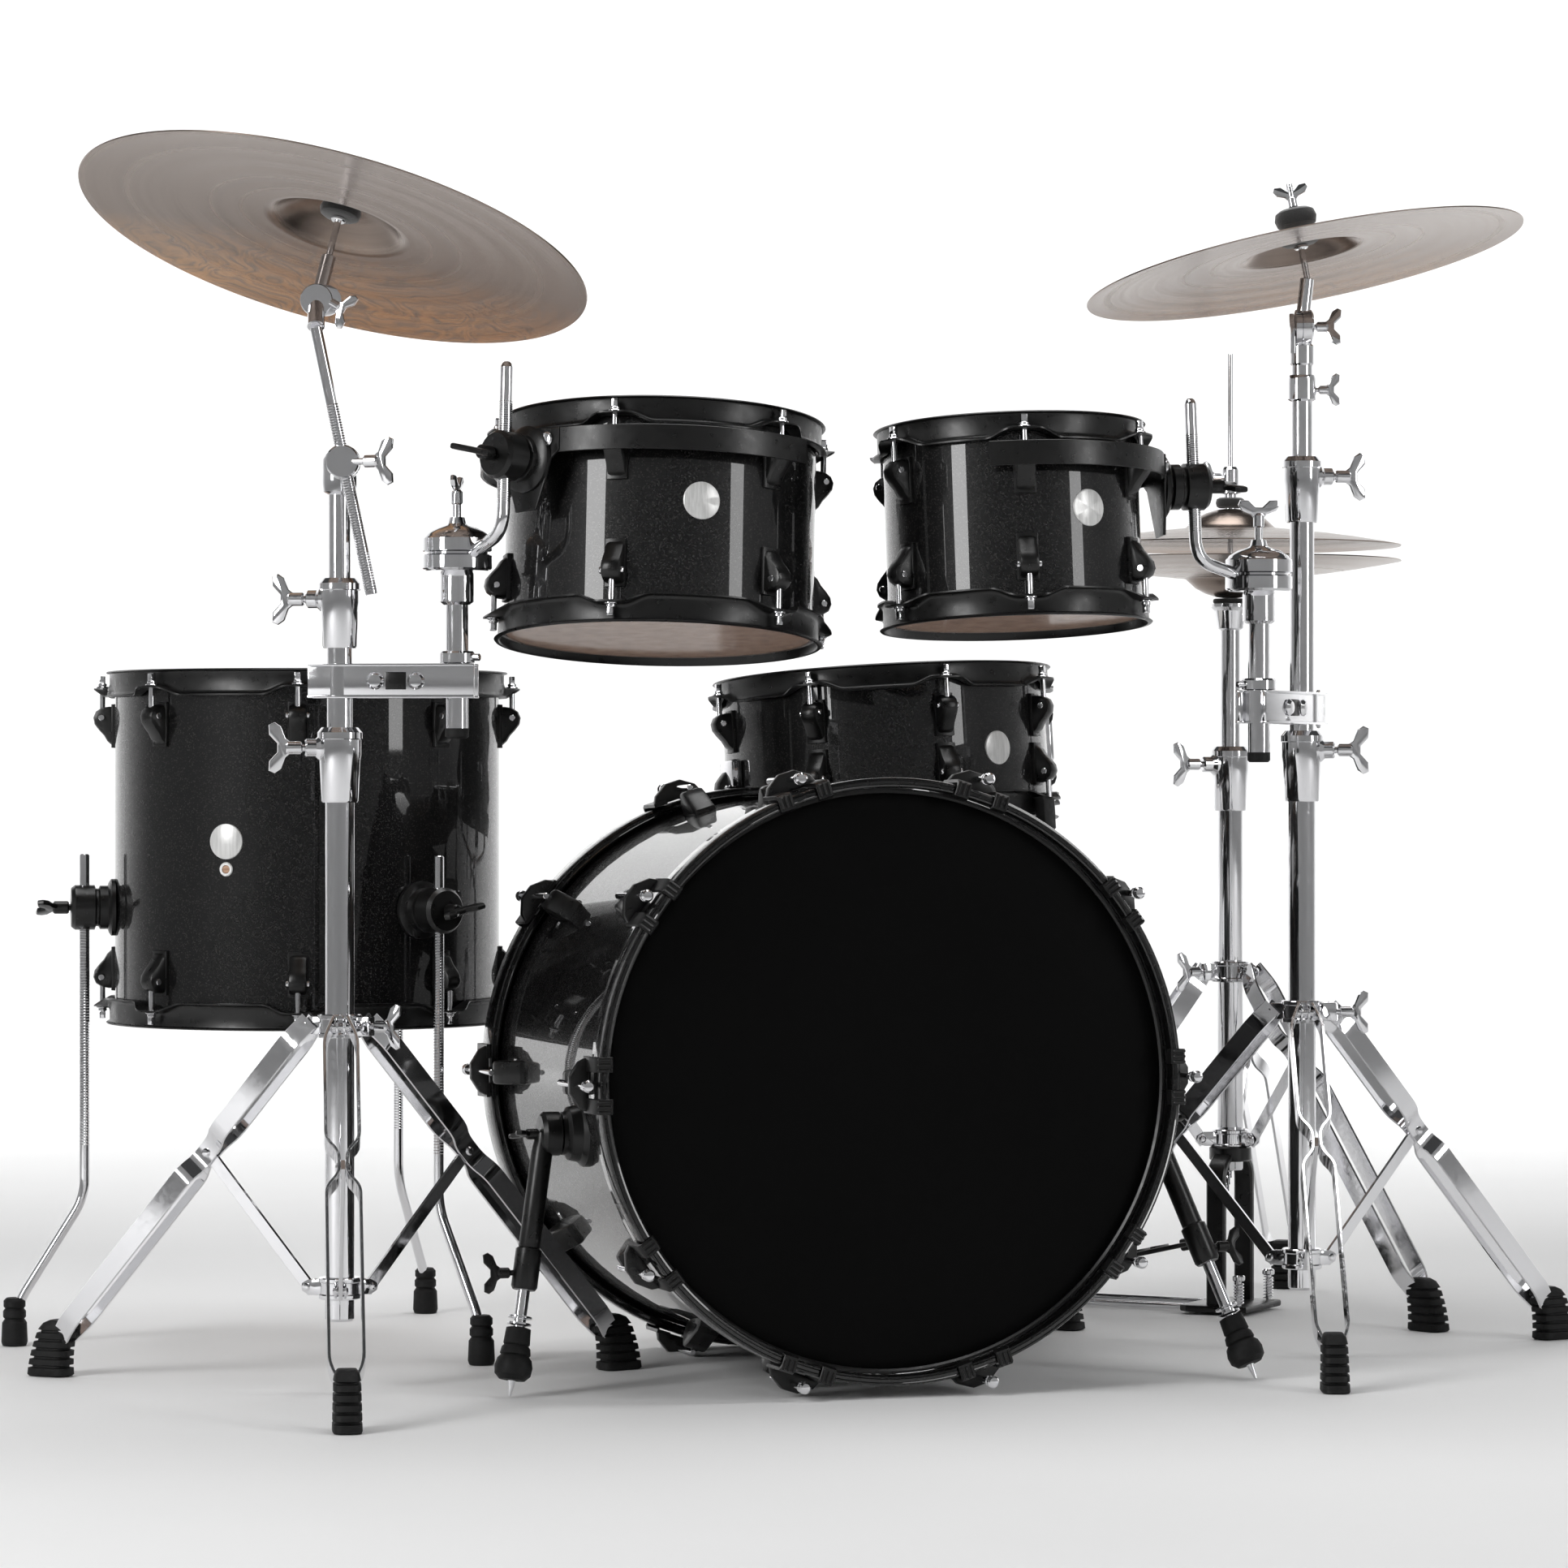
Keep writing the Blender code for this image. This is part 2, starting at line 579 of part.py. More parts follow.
def cymbal_stand(name, tom):
    stand = STANDS[name]
    home = unit(f"{name}_stand_unit", place(stand["at"]))
    folding_tripod(name, home, stand["bearing"])
    clamp, cuts = multi_clamp(stand["at"], TOM_MOUNTS[tom]["ball"], CLAMP_HEIGHT[name])
    second_collar = stand["second_collar"]
    pieces = [
        rod((0, 0, 0.42), (0, 0, second_collar - 0.03), MIDDLE_TUBE_RADIUS),
        rod((0, 0, second_collar - 0.06), (0, 0, second_collar), 0.018),
        rod((0, 0, second_collar - 0.04), (0, 0, stand["top"]), TOP_TUBE_RADIUS),
        clamp,
    ]
    if name == "left":
        pieces.append(block((0.004, -0.004, BOOM_PIVOT[2]), (0.036, 0.030, 0.030)))
    else:
        pieces.append(block((-TILTER_EAR, 0, TILTER_PIVOT[2] - 0.010), (0.005, 0.018, 0.048)))
    solid(f"{name}_upper_tube", "chrome", home, pieces, cuts=cuts)


def cymbal_post(low):
    """The thin rod through a cymbal, from low up past its bell, with a flange below the bell."""
    flange_top = CYMBAL_FLOAT - 0.004
    return [
        rod((0, 0, low), (0, 0, CYMBAL_ROD_TOP), CYMBAL_ROD_RADIUS, ROD_SIDES),
        rod((0, 0, flange_top - 0.010), (0, 0, flange_top), 0.008, ROD_SIDES),
    ]


def cymbal_shape(radius, bell_radius, bell_height, drop, sides=CYMBAL_SIDES):
    """A domed cymbal with a hole, its bell's top at z = 0 and its rim below."""
    upper = [
        (CYMBAL_HOLE, 0.0),
        (bell_radius * 0.55, -bell_height * 0.22),
        (bell_radius, -bell_height),
        (bell_radius + (radius - bell_radius) * 0.5, -bell_height - drop * 0.33),
        (radius, -bell_height - drop),
    ]
    return turned([*upper, *[(r, z - CYMBAL_WALL) for r, z in reversed(upper)]], sides)


def left_boom():
    """The boom arm slides and tilts in its clamp and carries the tilter and cymbal post."""
    cymbal = CYMBALS["left"]
    pivot = Vector(BOOM_PIVOT)
    at = STANDS["left"]["at"]
    home = unit("left_boom_unit", place((at[0] + pivot.x, at[1] + pivot.y, pivot.z)))
    seat = home.matrix_world.inverted() @ place(cymbal["at"], cymbal["back"], cymbal["right"])
    arm_low, arm_high = Vector(BOOM_LOW), Vector(BOOM_HIGH)
    joint = seat @ Vector((0, 0, -LEFT_JOINT_DROP))
    sleeve_top = -POST_SLEEVE_DROP["left"]
    post = [moved(piece, seat) for piece in cymbal_post(sleeve_top - 0.020)]
    pieces = [
        rod(arm_low, arm_high, 0.00635),
        rod((0, 0.012, 0), (0, -0.014, 0), 0.015),
        rod(arm_high, joint, 0.0085, ROD_SIDES),
        rod(joint, seat @ Vector((0, 0, sleeve_top)), 0.0085, ROD_SIDES),
        *post,
    ]
    solid("left_boom_arm", "chrome", home, pieces)
    shape = cymbal_shape(cymbal["radius"], *cymbal["bell"], cymbal["bow"])
    solid("left_cymbal", "bronze", home, [shape], seat)


def right_tilter():
    cymbal = CYMBALS["right"]
    pivot = Vector(TILTER_PIVOT)
    at = STANDS["right"]["at"]
    home = unit("right_tilter_unit", place((at[0] + pivot.x, at[1] + pivot.y, pivot.z)))
    seat = home.matrix_world.inverted() @ place(cymbal["at"], cymbal["back"], cymbal["right"])
    sleeve_top = -POST_SLEEVE_DROP["right"]
    pieces = [
        rod((-TILTER_EAR + 0.0029, 0, 0), (0.012, 0, 0), 0.012),
        rod((0, 0, 0), seat @ Vector((0, 0, sleeve_top)), 0.008, ROD_SIDES),
        *[moved(piece, seat) for piece in cymbal_post(sleeve_top - 0.020)],
    ]
    solid("right_tilter", "chrome", home, pieces)
    shape = cymbal_shape(cymbal["radius"], *cymbal["bell"], cymbal["bow"])
    solid("right_cymbal", "bronze", home, [shape], seat)


# ---------------------------------------------------------------- snare and hi-hat


def snare():
    sizes = DRUMS["snare"]
    drum("snare", heads=("batter",))
    x, y, z = sizes["at"]
    home = unit("snare_stand_unit", place((x, y)))
    tilted = home.matrix_world.inverted() @ place(sizes["at"], sizes["back"], sizes["right"])
    under = -sizes["depth"] / 2 - HOOP_OVERHANG
    hub = tilted @ Vector((0, 0, under - SNARE_HUB_DROP))
    reach = sizes["radius"] + HOOP_CLEARANCE + HOOP_WALL + GAP
    pieces = [
        rod((0, 0, 0.12), hub, 0.0127),
        rod(hub - Vector((0, 0, 0.03)), hub + Vector((0, 0, 0.012)), 0.024),
        collar_at(SNARE_BRACE_PIVOT[1], 0.021),
        collar_at(SNARE_LEG_PIVOT[1], 0.021),
    ]
    for i in range(3):
        turn = tilted @ facing(BASKET_BEARING + 120 * i)
        points = [
            (0.008, 0, under - SNARE_HUB_DROP),
            (reach + 0.0045, 0, under - 0.012),
            (reach + 0.0045, 0, under + 0.018),
        ]
        pieces.append(moved(sweep(points, rectangle(0.022, 0.007), (0, 1, 0)), turn))
    pieces += fixed_tripod(SNARE_LEG_PIVOT, SNARE_BRACE_PIVOT, SNARE_FOOT_REACH, SNARE_STAND_BEARING)
    solid("snare_stand", "chrome", home, pieces)


def hihat():
    home = unit("hihat_unit", place(HIHAT["at"]))
    radius, lower, upper = HIHAT["radius"], HIHAT["lower_rim"], HIHAT["upper_rim"]
    turn = facing(PEDAL_BEARING)
    tall = HIHAT_BELL[1] + HIHAT_BOW
    seat_top = lower - tall - CYMBAL_WALL - GAP
    pieces = [
        rod((0, 0, 0.160), (0, 0, 0.630), BASE_TUBE_RADIUS),
        collar_at(HIHAT_BRACE_PIVOT[1], 0.021),
        collar_at(HIHAT_LEG_PIVOT[1], 0.022),
        rod((0, 0, HIHAT_TUBE_TOP - 0.072), (0, 0, HIHAT_TUBE_TOP), 0.020),
        rod((0, 0, HIHAT_TUBE_TOP - 0.032), (0, 0, seat_top), TOP_TUBE_RADIUS),
        rod((0, 0, seat_top - 0.035), (0, 0, seat_top), 0.017, TUBE_SIDES, 0.022),
        moved(block((0, 0, 0.166), (0.045, 0.090, 0.022)), turn),
        moved(block((0, 0, 0.006), (0.075, 0.105, 0.009)), turn),
    ]
    for sign in (-1, 1):
        pieces.append(moved(block((0, sign * 0.040, 0.090), (0.022, 0.008, 0.170)), turn))
        points = [(0.02, sign * 0.030, 0.006), (PEDAL_LENGTH + 0.02, sign * 0.030, 0.006)]
        pieces.append(moved(sweep(points, circle(0.004), (0, 1, 0)), turn))
    pieces.append(moved(block((PEDAL_LENGTH + 0.02, 0, 0.007), (0.050, 0.084, 0.012)), turn))
    pieces += fixed_tripod(HIHAT_LEG_PIVOT, HIHAT_BRACE_PIVOT, HIHAT_FOOT_REACH, HIHAT["bearing"])
    bore = rod((0, 0, 0.640), (0, 0, 1.0), 0.0062, ROD_SIDES)
    well = rod((0, 0, 0.600), (0, 0, 0.660), 0.0062, ROD_SIDES)
    solid("hihat_stand", "chrome", home, pieces, cuts=[bore, well])
    flip = Matrix.Rotation(math.pi, 4, "X")
    shape = moved(cymbal_shape(radius, *HIHAT_BELL, HIHAT_BOW), flip)
    solid("hihat_bottom_cymbal", "bronze", home, [shape], shift(0, 0, lower - tall))
    top = cymbal_shape(radius, *HIHAT_BELL, HIHAT_BOW)
    bell_top = upper + tall
    clutch = [
        rod((0, 0, 0.640 - bell_top), (0, 0, HIHAT_ROD_TOP - bell_top), 0.004, ROD_SIDES),
        rod((0, 0, -0.012), (0, 0, 0.036), 0.011, TUBE_SIDES),
    ]
    solid("hihat_top_cymbal", "bronze", home, [top, *clutch], shift(0, 0, bell_top))
    heel = (PEDAL_LENGTH + 0.02, 0, 0.020)
    slope = math.radians(PEDAL_SLOPE)
    toe = Vector((-math.cos(slope), 0, math.sin(slope))) * (PEDAL_LENGTH - 0.02)
    board = sweep([toe * 0.02, toe], rectangle(0.006, 0.070), (0, 0, 1))
    solid("hihat_pedal", "chrome", home, [board], turn @ shift(*heel))


def main():
    clear_scene()
    bass_drum()
    floor_tom()
    for side in ("left", "right"):
        tom = f"{side}_tom"
        rack_tom(tom)
        tom_holder(tom, CLAMP_HEIGHT[side])
        cymbal_stand(side, tom)
    left_boom()
    right_tilter()
    snare()
    hihat()


main()
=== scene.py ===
"""Looks of the acoustic drum kit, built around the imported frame: drums, hardware, stands and cymbals."""

import json
import math

import bmesh
import bpy
from mathutils import Matrix, Vector


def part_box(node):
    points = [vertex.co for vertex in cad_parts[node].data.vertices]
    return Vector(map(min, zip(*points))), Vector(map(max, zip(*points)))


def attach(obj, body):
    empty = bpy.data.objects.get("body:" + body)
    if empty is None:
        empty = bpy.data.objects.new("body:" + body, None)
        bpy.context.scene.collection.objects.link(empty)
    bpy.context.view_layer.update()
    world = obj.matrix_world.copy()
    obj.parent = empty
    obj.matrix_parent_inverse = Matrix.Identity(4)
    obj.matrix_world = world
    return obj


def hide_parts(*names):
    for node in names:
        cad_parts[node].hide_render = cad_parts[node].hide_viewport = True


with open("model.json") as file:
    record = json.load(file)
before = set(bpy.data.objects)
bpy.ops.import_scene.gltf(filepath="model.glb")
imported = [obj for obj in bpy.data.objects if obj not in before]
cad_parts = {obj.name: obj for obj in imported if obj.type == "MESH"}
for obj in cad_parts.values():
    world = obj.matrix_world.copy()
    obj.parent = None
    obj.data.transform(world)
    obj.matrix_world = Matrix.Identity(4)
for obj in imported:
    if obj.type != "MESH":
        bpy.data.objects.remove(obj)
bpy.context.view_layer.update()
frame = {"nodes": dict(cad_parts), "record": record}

INCH = 0.0254
JOINTS = {joint["name"]: joint for joint in frame["record"]["behaviour"]["joints"]}
UP = Vector((0, 0, 1))
RIGHT = Vector((1, 0, 0))
SHELL_WALL = 0.0065
FINE = 96
MEDIUM = 32
SMALL = 16


# ---------------------------------------------------------------- where things are


def pivot(joint):
    return Vector(JOINTS[joint]["pos_m"])


def middle(node):
    low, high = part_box(node)
    return (Vector(low) + Vector(high)) / 2


def basis(origin, up, side=RIGHT):
    """A frame at origin whose Z runs along up and whose X stays as close to side as it can."""
    z = Vector(up).normalized()
    x = (Vector(side) - Vector(side).dot(z) * z).normalized()
    turn = Matrix((x, z.cross(x), z)).transposed().to_4x4()
    return Matrix.Translation(origin) @ turn


def facing(bearing):
    """Turns local +X to a bearing, in degrees from the front towards the right."""
    return Matrix.Rotation(math.radians(bearing - 90.0), 4, "Z")


def shift(x, y, z):
    return Matrix.Translation((x, y, z))


# ---------------------------------------------------------------- shapes


def spun(profile, start, along, sides=MEDIUM):
    """A turned solid: (radius, distance) points from start in the direction along, closed at both ends."""
    shape = bmesh.new()
    turn = basis(start, along, RIGHT if abs(Vector(along).normalized().x) < 0.9 else UP)
    rows = []
    for radius, distance in profile:
        count = sides if radius > 1e-6 else 1
        rows.append(
            [
                shape.verts.new(
                    turn @ Vector(
                        (
                            radius * math.cos(2 * math.pi * i / sides),
                            radius * math.sin(2 * math.pi * i / sides),
                            distance,
                        )
                    )
                )
                for i in range(count)
            ]
        )
    for row, following in zip(rows, rows[1:]):
        for i in range(sides):
            j = (i + 1) % sides
            corners = [
                row[i % len(row)],
                row[j % len(row)],
                following[j % len(following)],
                following[i % len(following)],
            ]
            unique = list(dict.fromkeys(corners))
            if len(unique) > 2:
                shape.faces.new(unique)
    for row in (rows[0], rows[-1]):
        if len(row) > 1:
            shape.faces.new(row)
    bmesh.ops.recalc_face_normals(shape, faces=shape.faces)
    return shape


def rod(start, end, radius, sides=MEDIUM, edge=0.0006, end_radius=None):
    """A round bar with chamfered ends, or a cone."""
    start, end = Vector(start), Vector(end)
    length = (end - start).length
    last = radius if end_radius is None else end_radius
    edge = min(edge, length / 3, radius / 2, last / 2)
    profile = [(radius - edge, 0), (radius, edge), (last, length - edge), (last - edge, length)]
    return spun(profile, start, end - start, sides)


def ring(profile, sides=FINE, matrix=None):
    """A ring: a closed profile of (radius, z) points, none on the axis, turned about Z."""
    shape = bmesh.new()
    rows = []
    for i in range(sides):
        angle = 2 * math.pi * i / sides
        rows.append([shape.verts.new((r * math.cos(angle), r * math.sin(angle), z)) for r, z in profile])
    for row, following in zip(rows, rows[1:] + rows[:1]):
        for j in range(len(profile)):
            k = (j + 1) % len(profile)
            shape.faces.new((row[j], following[j], following[k], row[k]))
    bmesh.ops.recalc_face_normals(shape, faces=shape.faces)
    return moved(shape, matrix)


def moved(shape, matrix):
    if matrix is not None:
        shape.transform(matrix)
    return shape


def soften(shape, width):
    if width:
        bmesh.ops.bevel(
            shape, geom=list(
                shape.edges
            ), offset=width, segments=2, profile=0.5, affect="EDGES", clamp_overlap=True
        )
    return shape


def block(centre, size, matrix=None, edge=0.0008):
    shape = bmesh.new()
    bmesh.ops.create_cube(shape, size=1.0, matrix=Matrix.Translation(centre) @ Matrix.Diagonal((*size, 1.0)))
    return moved(soften(shape, edge), matrix)


def slab(outline, thickness, matrix=None, edge=0.0008):
    """A flat outline of (x, y) points given a thickness about z = 0."""
    shape = bmesh.new()
    lower = [shape.verts.new((x, y, -thickness / 2)) for x, y in outline]
    upper = [shape.verts.new((x, y, thickness / 2)) for x, y in outline]
    shape.faces.new(lower[::-1])
    shape.faces.new(upper)
    for i in range(len(outline)):
        j = (i + 1) % len(outline)
        shape.faces.new((lower[i], lower[j], upper[j], upper[i]))
    bmesh.ops.recalc_face_normals(shape, faces=shape.faces)
    if edge:
        rims = [e for e in shape.edges if abs(e.verts[0].co.z - e.verts[1].co.z) < 1e-9]
        bmesh.ops.bevel(
            shape, geom=rims, offset=edge, segments=2, profile=0.5, affect="EDGES", clamp_overlap=True
        )
    return moved(shape, matrix)


def sweep(points, outline, side):
    """A flat outline carried along points; its first axis stays as close to side as it can."""
    points = [Vector(point) for point in points]
    shape = bmesh.new()
    rows = []
    for i, point in enumerate(points):
        into = (point - points[i - 1]).normalized() if i else Vector()
        out = (points[i + 1] - point).normalized() if i < len(points) - 1 else Vector()
        tangent = (into + out).normalized()
        across = (Vector(side) - Vector(side).dot(tangent) * tangent).normalized()
        normal = tangent.cross(across)
        rows.append([shape.verts.new(point + u * across + v * normal) for u, v in outline])
    for row, following in zip(rows, rows[1:]):
        for j in range(len(outline)):
            k = (j + 1) % len(outline)
            shape.faces.new((row[j], row[k], following[k], following[j]))
    shape.faces.new(rows[0][::-1])
    shape.faces.new(rows[-1])
    bmesh.ops.recalc_face_normals(shape, faces=shape.faces)
    return shape


def circle(radius, sides=SMALL):
    return [
        (radius * math.cos(2 * math.pi * i / sides), radius * math.sin(2 * math.pi * i / sides))
        for i in range(sides)
    ]


def rectangle(width, height, edge=0.0004):
    """A rectangle with cut corners, for strips whose long edges catch the light."""
    w, h = width / 2, height / 2
    return [
        (-w + edge, -h),
        (w - edge, -h),
        (w, -h + edge),
        (w, h - edge),
        (w - edge, h),
        (-w + edge, h),
        (-w, h - edge),
        (-w, -h + edge),
    ]


def rounded_path(points, radius, steps=6):
    """The points with each inner corner replaced by an arc-like curve."""
    points = [Vector(point) for point in points]
    path = [points[0]]
    for before, corner, after in zip(points, points[1:], points[2:]):
        reach = min(radius, (before - corner).length / 2, (after - corner).length / 2)
        start = corner + (before - corner).normalized() * reach
        end = corner + (after - corner).normalized() * reach
        for i in range(steps + 1):
            t = i / steps
            path.append((1 - t) ** 2 * start + 2 * t * (1 - t) * corner + t * t * end)
    path.append(points[-1])
    return path


# ---------------------------------------------------------------- materials


class Nodes:
    """A Principled material and short calls for the nodes that feed it."""

    def __init__(self, name, **sockets):
        self.material = bpy.data.materials.new(name)
        self.material.use_nodes = True
        self.tree = self.material.node_tree
        self.shader = self.tree.nodes["Principled BSDF"]
        for socket, value in sockets.items():
            self.shader.inputs[socket.replace("_", " ")].default_value = value
        self.place = self.node("ShaderNodeTexCoord").outputs["Object"]

    def node(self, kind, settings=None, **inputs):
        made = self.tree.nodes.new(kind)
        for key, value in (settings or {}).items():
            setattr(made, key, value)
        for socket, value in inputs.items():
            self.feed(made.inputs[socket.replace("_", " ")], value)
        return made

    def feed(self, socket, value):
        if isinstance(value, bpy.types.NodeSocket):
            self.tree.links.new(value, socket)
        else:
            socket.default_value = value

    def noise(self, scale, detail=3.0, vector=None, stretch=None):
        if stretch:
            vector = self.node(
                "ShaderNodeMapping", Vector=vector or self.place, Scale=stretch
            ).outputs["Vector"]
        return self.node(
            "ShaderNodeTexNoise", Vector=vector or self.place, Scale=scale, Detail=detail
        ).outputs["Fac"]

    def ramp(self, factor, stops):
        made = self.node("ShaderNodeValToRGB", Fac=factor)
        elements = made.color_ramp.elements
        while len(elements) < len(stops):
            elements.new(0.5)
        for element, (position, colour) in zip(elements, stops):
            element.position = position
            element.color = colour if isinstance(colour, tuple) else (colour, colour, colour, 1.0)
        return made.outputs["Color"]

    def bump(self, height, strength, distance):
        normal = self.node(
            "ShaderNodeBump", Height=height, Strength=strength, Distance=distance
        ).outputs["Normal"]
        self.feed(self.shader.inputs["Normal"], normal)

    def colour(self, socket):
        self.feed(self.shader.inputs["Base Color"], socket)

    def rough(self, socket):
        self.feed(self.shader.inputs["Roughness"], socket)


def rgb(r, g, b):
    return (r, g, b, 1.0)


def sparkle_lacquer():
    """Black lacquer over fine metal flake."""
    look = Nodes(
        "sparkle_lacquer", Specular_IOR_Level=0.12, Coat_Weight=1.0, Coat_Roughness=0.02, Coat_IOR=1.45
    )
    cells = look.node("ShaderNodeTexVoronoi", Vector=look.place, Scale=900.0).outputs["Color"]
    pick = look.node("ShaderNodeSeparateColor", Color=cells)
    flake = look.ramp(pick.outputs["Red"], [(0.80, 0.0), (0.97, 1.0)])
    shade = look.ramp(
        look.noise(7.0), [(0.3, rgb(0.0012, 0.0012, 0.0014)), (0.7, rgb(0.0024, 0.0024, 0.0026))]
    )
    mixed = look.node("ShaderNodeMix", {"data_type": "RGBA"})
    look.feed(mixed.inputs[0], flake)
    look.feed(mixed.inputs[6], shade)
    look.feed(mixed.inputs[7], rgb(0.030, 0.0285, 0.027))
    look.colour(mixed.outputs[2])
    look.rough(look.ramp(flake, [(0.0, 0.42), (1.0, 0.26)]))
    return look.material


def gloss_black():
    look = Nodes("gloss_black", Specular_IOR_Level=0.2, Coat_Weight=1.0, Coat_Roughness=0.03)
    look.colour(
        look.ramp(
            look.noise(14.0), [(0.3, rgb(0.0018, 0.0018, 0.0018)), (0.7, rgb(0.0032, 0.0032, 0.0032))]
        )
    )
    look.rough(look.ramp(look.noise(60.0), [(0.3, 0.22), (0.7, 0.32)]))
    return look.material


def satin_black():
    look = Nodes("satin_black", Specular_IOR_Level=0.42)
    look.colour(
        look.ramp(
            look.noise(30.0),
            [(0.3, rgb(0.0035, 0.0035, 0.0035)), (0.7, rgb(0.0056, 0.005425, 0.00525))],
        )
    )
    grain = look.noise(900.0, 2.0)
    look.rough(look.ramp(look.noise(120.0), [(0.3, 0.26), (0.7, 0.36)]))
    look.bump(grain, 0.12, 0.0002)
    return look.material


def chrome():
    look = Nodes("chrome", Metallic=1.0)
    look.colour(
        look.ramp(
            look.noise(16.0),
            [(0.3, rgb(0.768, 0.768, 0.784)), (0.7, rgb(0.80, 0.80, 0.816))],
        )
    )
    look.rough(look.ramp(look.noise(180.0), [(0.35, 0.05), (0.7, 0.11)]))
    look.bump(look.noise(420.0, 2.0), 0.02, 0.0002)
    return look.material


def head_film(name, colour, roughness, transmission):
    look = Nodes(name, IOR=1.3, Transmission_Weight=transmission)
    fine = look.noise(1500.0, 2.0)
    low = tuple(part * 0.94 for part in colour)
    look.colour(look.ramp(look.noise(9.0), [(0.3, rgb(*low)), (0.7, rgb(*colour))]))
    look.rough(look.ramp(fine, [(0.3, roughness), (0.7, roughness * 1.25)]))
    look.bump(fine, 0.08, 0.0002)
    return look.material


def clear_film():
    """A clear film: mostly see-through, with a gloss that rises at grazing angles."""
    look = Nodes("clear_film", Roughness=0.12, IOR=1.45, Alpha=0.22)
    look.colour(look.ramp(look.noise(12.0), [(0.3, rgb(0.80, 0.72, 0.66)), (0.7, rgb(0.86, 0.80, 0.75))]))
    return look.material


def black_film():
    look = Nodes("black_film", Specular_IOR_Level=0.06)
    fine = look.noise(1400.0, 2.0)
    look.colour(
        look.ramp(
            look.noise(5.0), [(0.3, rgb(0.0010, 0.0010, 0.0010)), (0.7, rgb(0.0016, 0.0016, 0.0016))]
        )
    )
    look.rough(look.ramp(fine, [(0.3, 0.42), (0.7, 0.52)]))
    look.bump(fine, 0.05, 0.0001)
    return look.material


def plywood():
    """Pale reddish plies inside a shell, with the grain running round it."""
    look = Nodes("plywood")
    grain = look.noise(55.0, 6.0, stretch=(1.0, 1.0, 7.0))
    look.colour(
        look.ramp(
            grain,
            [
                (0.25, rgb(0.30, 0.155, 0.088)),
                (0.5, rgb(0.46, 0.27, 0.17)),
                (0.75, rgb(0.56, 0.36, 0.25)),
            ],
        )
    )
    look.rough(look.ramp(grain, [(0.3, 0.42), (0.7, 0.6)]))
    look.bump(grain, 0.15, 0.0004)
    return look.material


def rubber():
    look = Nodes("rubber", Specular_IOR_Level=0.3)
    look.colour(
        look.ramp(look.noise(40.0), [(0.3, rgb(0.004, 0.004, 0.004)), (0.7, rgb(0.008, 0.008, 0.008))])
    )
    look.rough(look.ramp(look.noise(150.0), [(0.3, 0.55), (0.7, 0.72)]))
    look.bump(look.noise(700.0), 0.2, 0.0004)
    return look.material


def felt():
    look = Nodes("felt", Sheen_Weight=0.6)
    fibres = look.noise(900.0, 6.0)
    look.colour(look.ramp(fibres, [(0.3, rgb(0.006, 0.006, 0.006)), (0.7, rgb(0.03, 0.03, 0.03))]))
    look.rough(look.ramp(fibres, [(0.3, 0.85), (0.7, 0.98)]))
    look.bump(fibres, 0.7, 0.0008)
    return look.material


def badge_metal():
    look = Nodes("badge_metal", Metallic=0.35)
    brushed = look.noise(500.0, 3.0, stretch=(1.0, 1.0, 0.06))
    look.colour(look.ramp(brushed, [(0.3, rgb(0.62, 0.62, 0.61)), (0.7, rgb(0.80, 0.80, 0.79))]))
    look.rough(look.ramp(brushed, [(0.3, 0.28), (0.7, 0.42)]))
    return look.material


def bronze(name, centre, up, warm):
    """Lathed cymbal bronze: fine rings about the cymbal's own axis, and painted warm light in streaks towards
    its front.
    """
    look = Nodes(name, Metallic=1.0)
    place = basis(centre, up).inverted()
    turn = place.to_euler()
    local = look.node(
        "ShaderNodeMapping", {
            "vector_type": "POINT"
        }, Vector=look.place, Location=tuple(place.translation), Rotation=tuple(turn)
    ).outputs["Vector"]
    axes = look.node("ShaderNodeSeparateXYZ", Vector=local)
    flat = look.node("ShaderNodeCombineXYZ", X=axes.outputs["X"], Y=axes.outputs["Y"])
    radius = look.node(
        "ShaderNodeVectorMath", {"operation": "LENGTH"}, Vector=flat.outputs["Vector"]
    ).outputs["Value"]
    along = look.node("ShaderNodeCombineXYZ", X=radius)
    lathe = look.node(
        "ShaderNodeTexNoise", Vector=along.outputs["Vector"], Scale=1500.0, Detail=2.0
    ).outputs["Fac"]
    broad = look.node(
        "ShaderNodeTexNoise", Vector=along.outputs["Vector"], Scale=90.0, Detail=3.0
    ).outputs["Fac"]
    streak = look.node("ShaderNodeCombineXYZ", X=radius)
    look.feed(streak.inputs["Y"], look.noise(5.0, 3.0))
    streaks = look.node(
        "ShaderNodeTexNoise", Vector=streak.outputs["Vector"], Scale=70.0, Detail=4.0
    ).outputs["Fac"]
    # Painted light: a warm copper highlight rises across one side of the cymbal and is broken into streaks;
    # warm sets how strong it is.
    lit_side = look.node("ShaderNodeMapRange", Value=axes.outputs["Y"])
    for socket, value in (("From Min", 0.05), ("From Max", 0.19), ("To Min", 0.0), ("To Max", warm)):
        lit_side.inputs[socket].default_value = value
    painted_warm_light = look.node("ShaderNodeMath", {"operation": "MULTIPLY"})
    look.feed(painted_warm_light.inputs[0], lit_side.outputs["Result"])
    look.feed(painted_warm_light.inputs[1], look.ramp(streaks, [(0.36, 0.15), (0.56, 1.0)]))
    base = look.ramp(broad, [(0.3, rgb(0.215, 0.170, 0.145)), (0.7, rgb(0.310, 0.255, 0.220))])
    mixed = look.node("ShaderNodeMix", {"data_type": "RGBA"})
    look.feed(mixed.inputs[0], painted_warm_light.outputs["Value"])
    look.feed(mixed.inputs[6], base)
    look.feed(mixed.inputs[7], rgb(0.70, 0.40, 0.20))
    look.colour(mixed.outputs[2])
    look.rough(look.ramp(broad, [(0.3, 0.20), (0.7, 0.30)]))
    look.bump(lathe, 0.25, 0.0004)
    return look.material


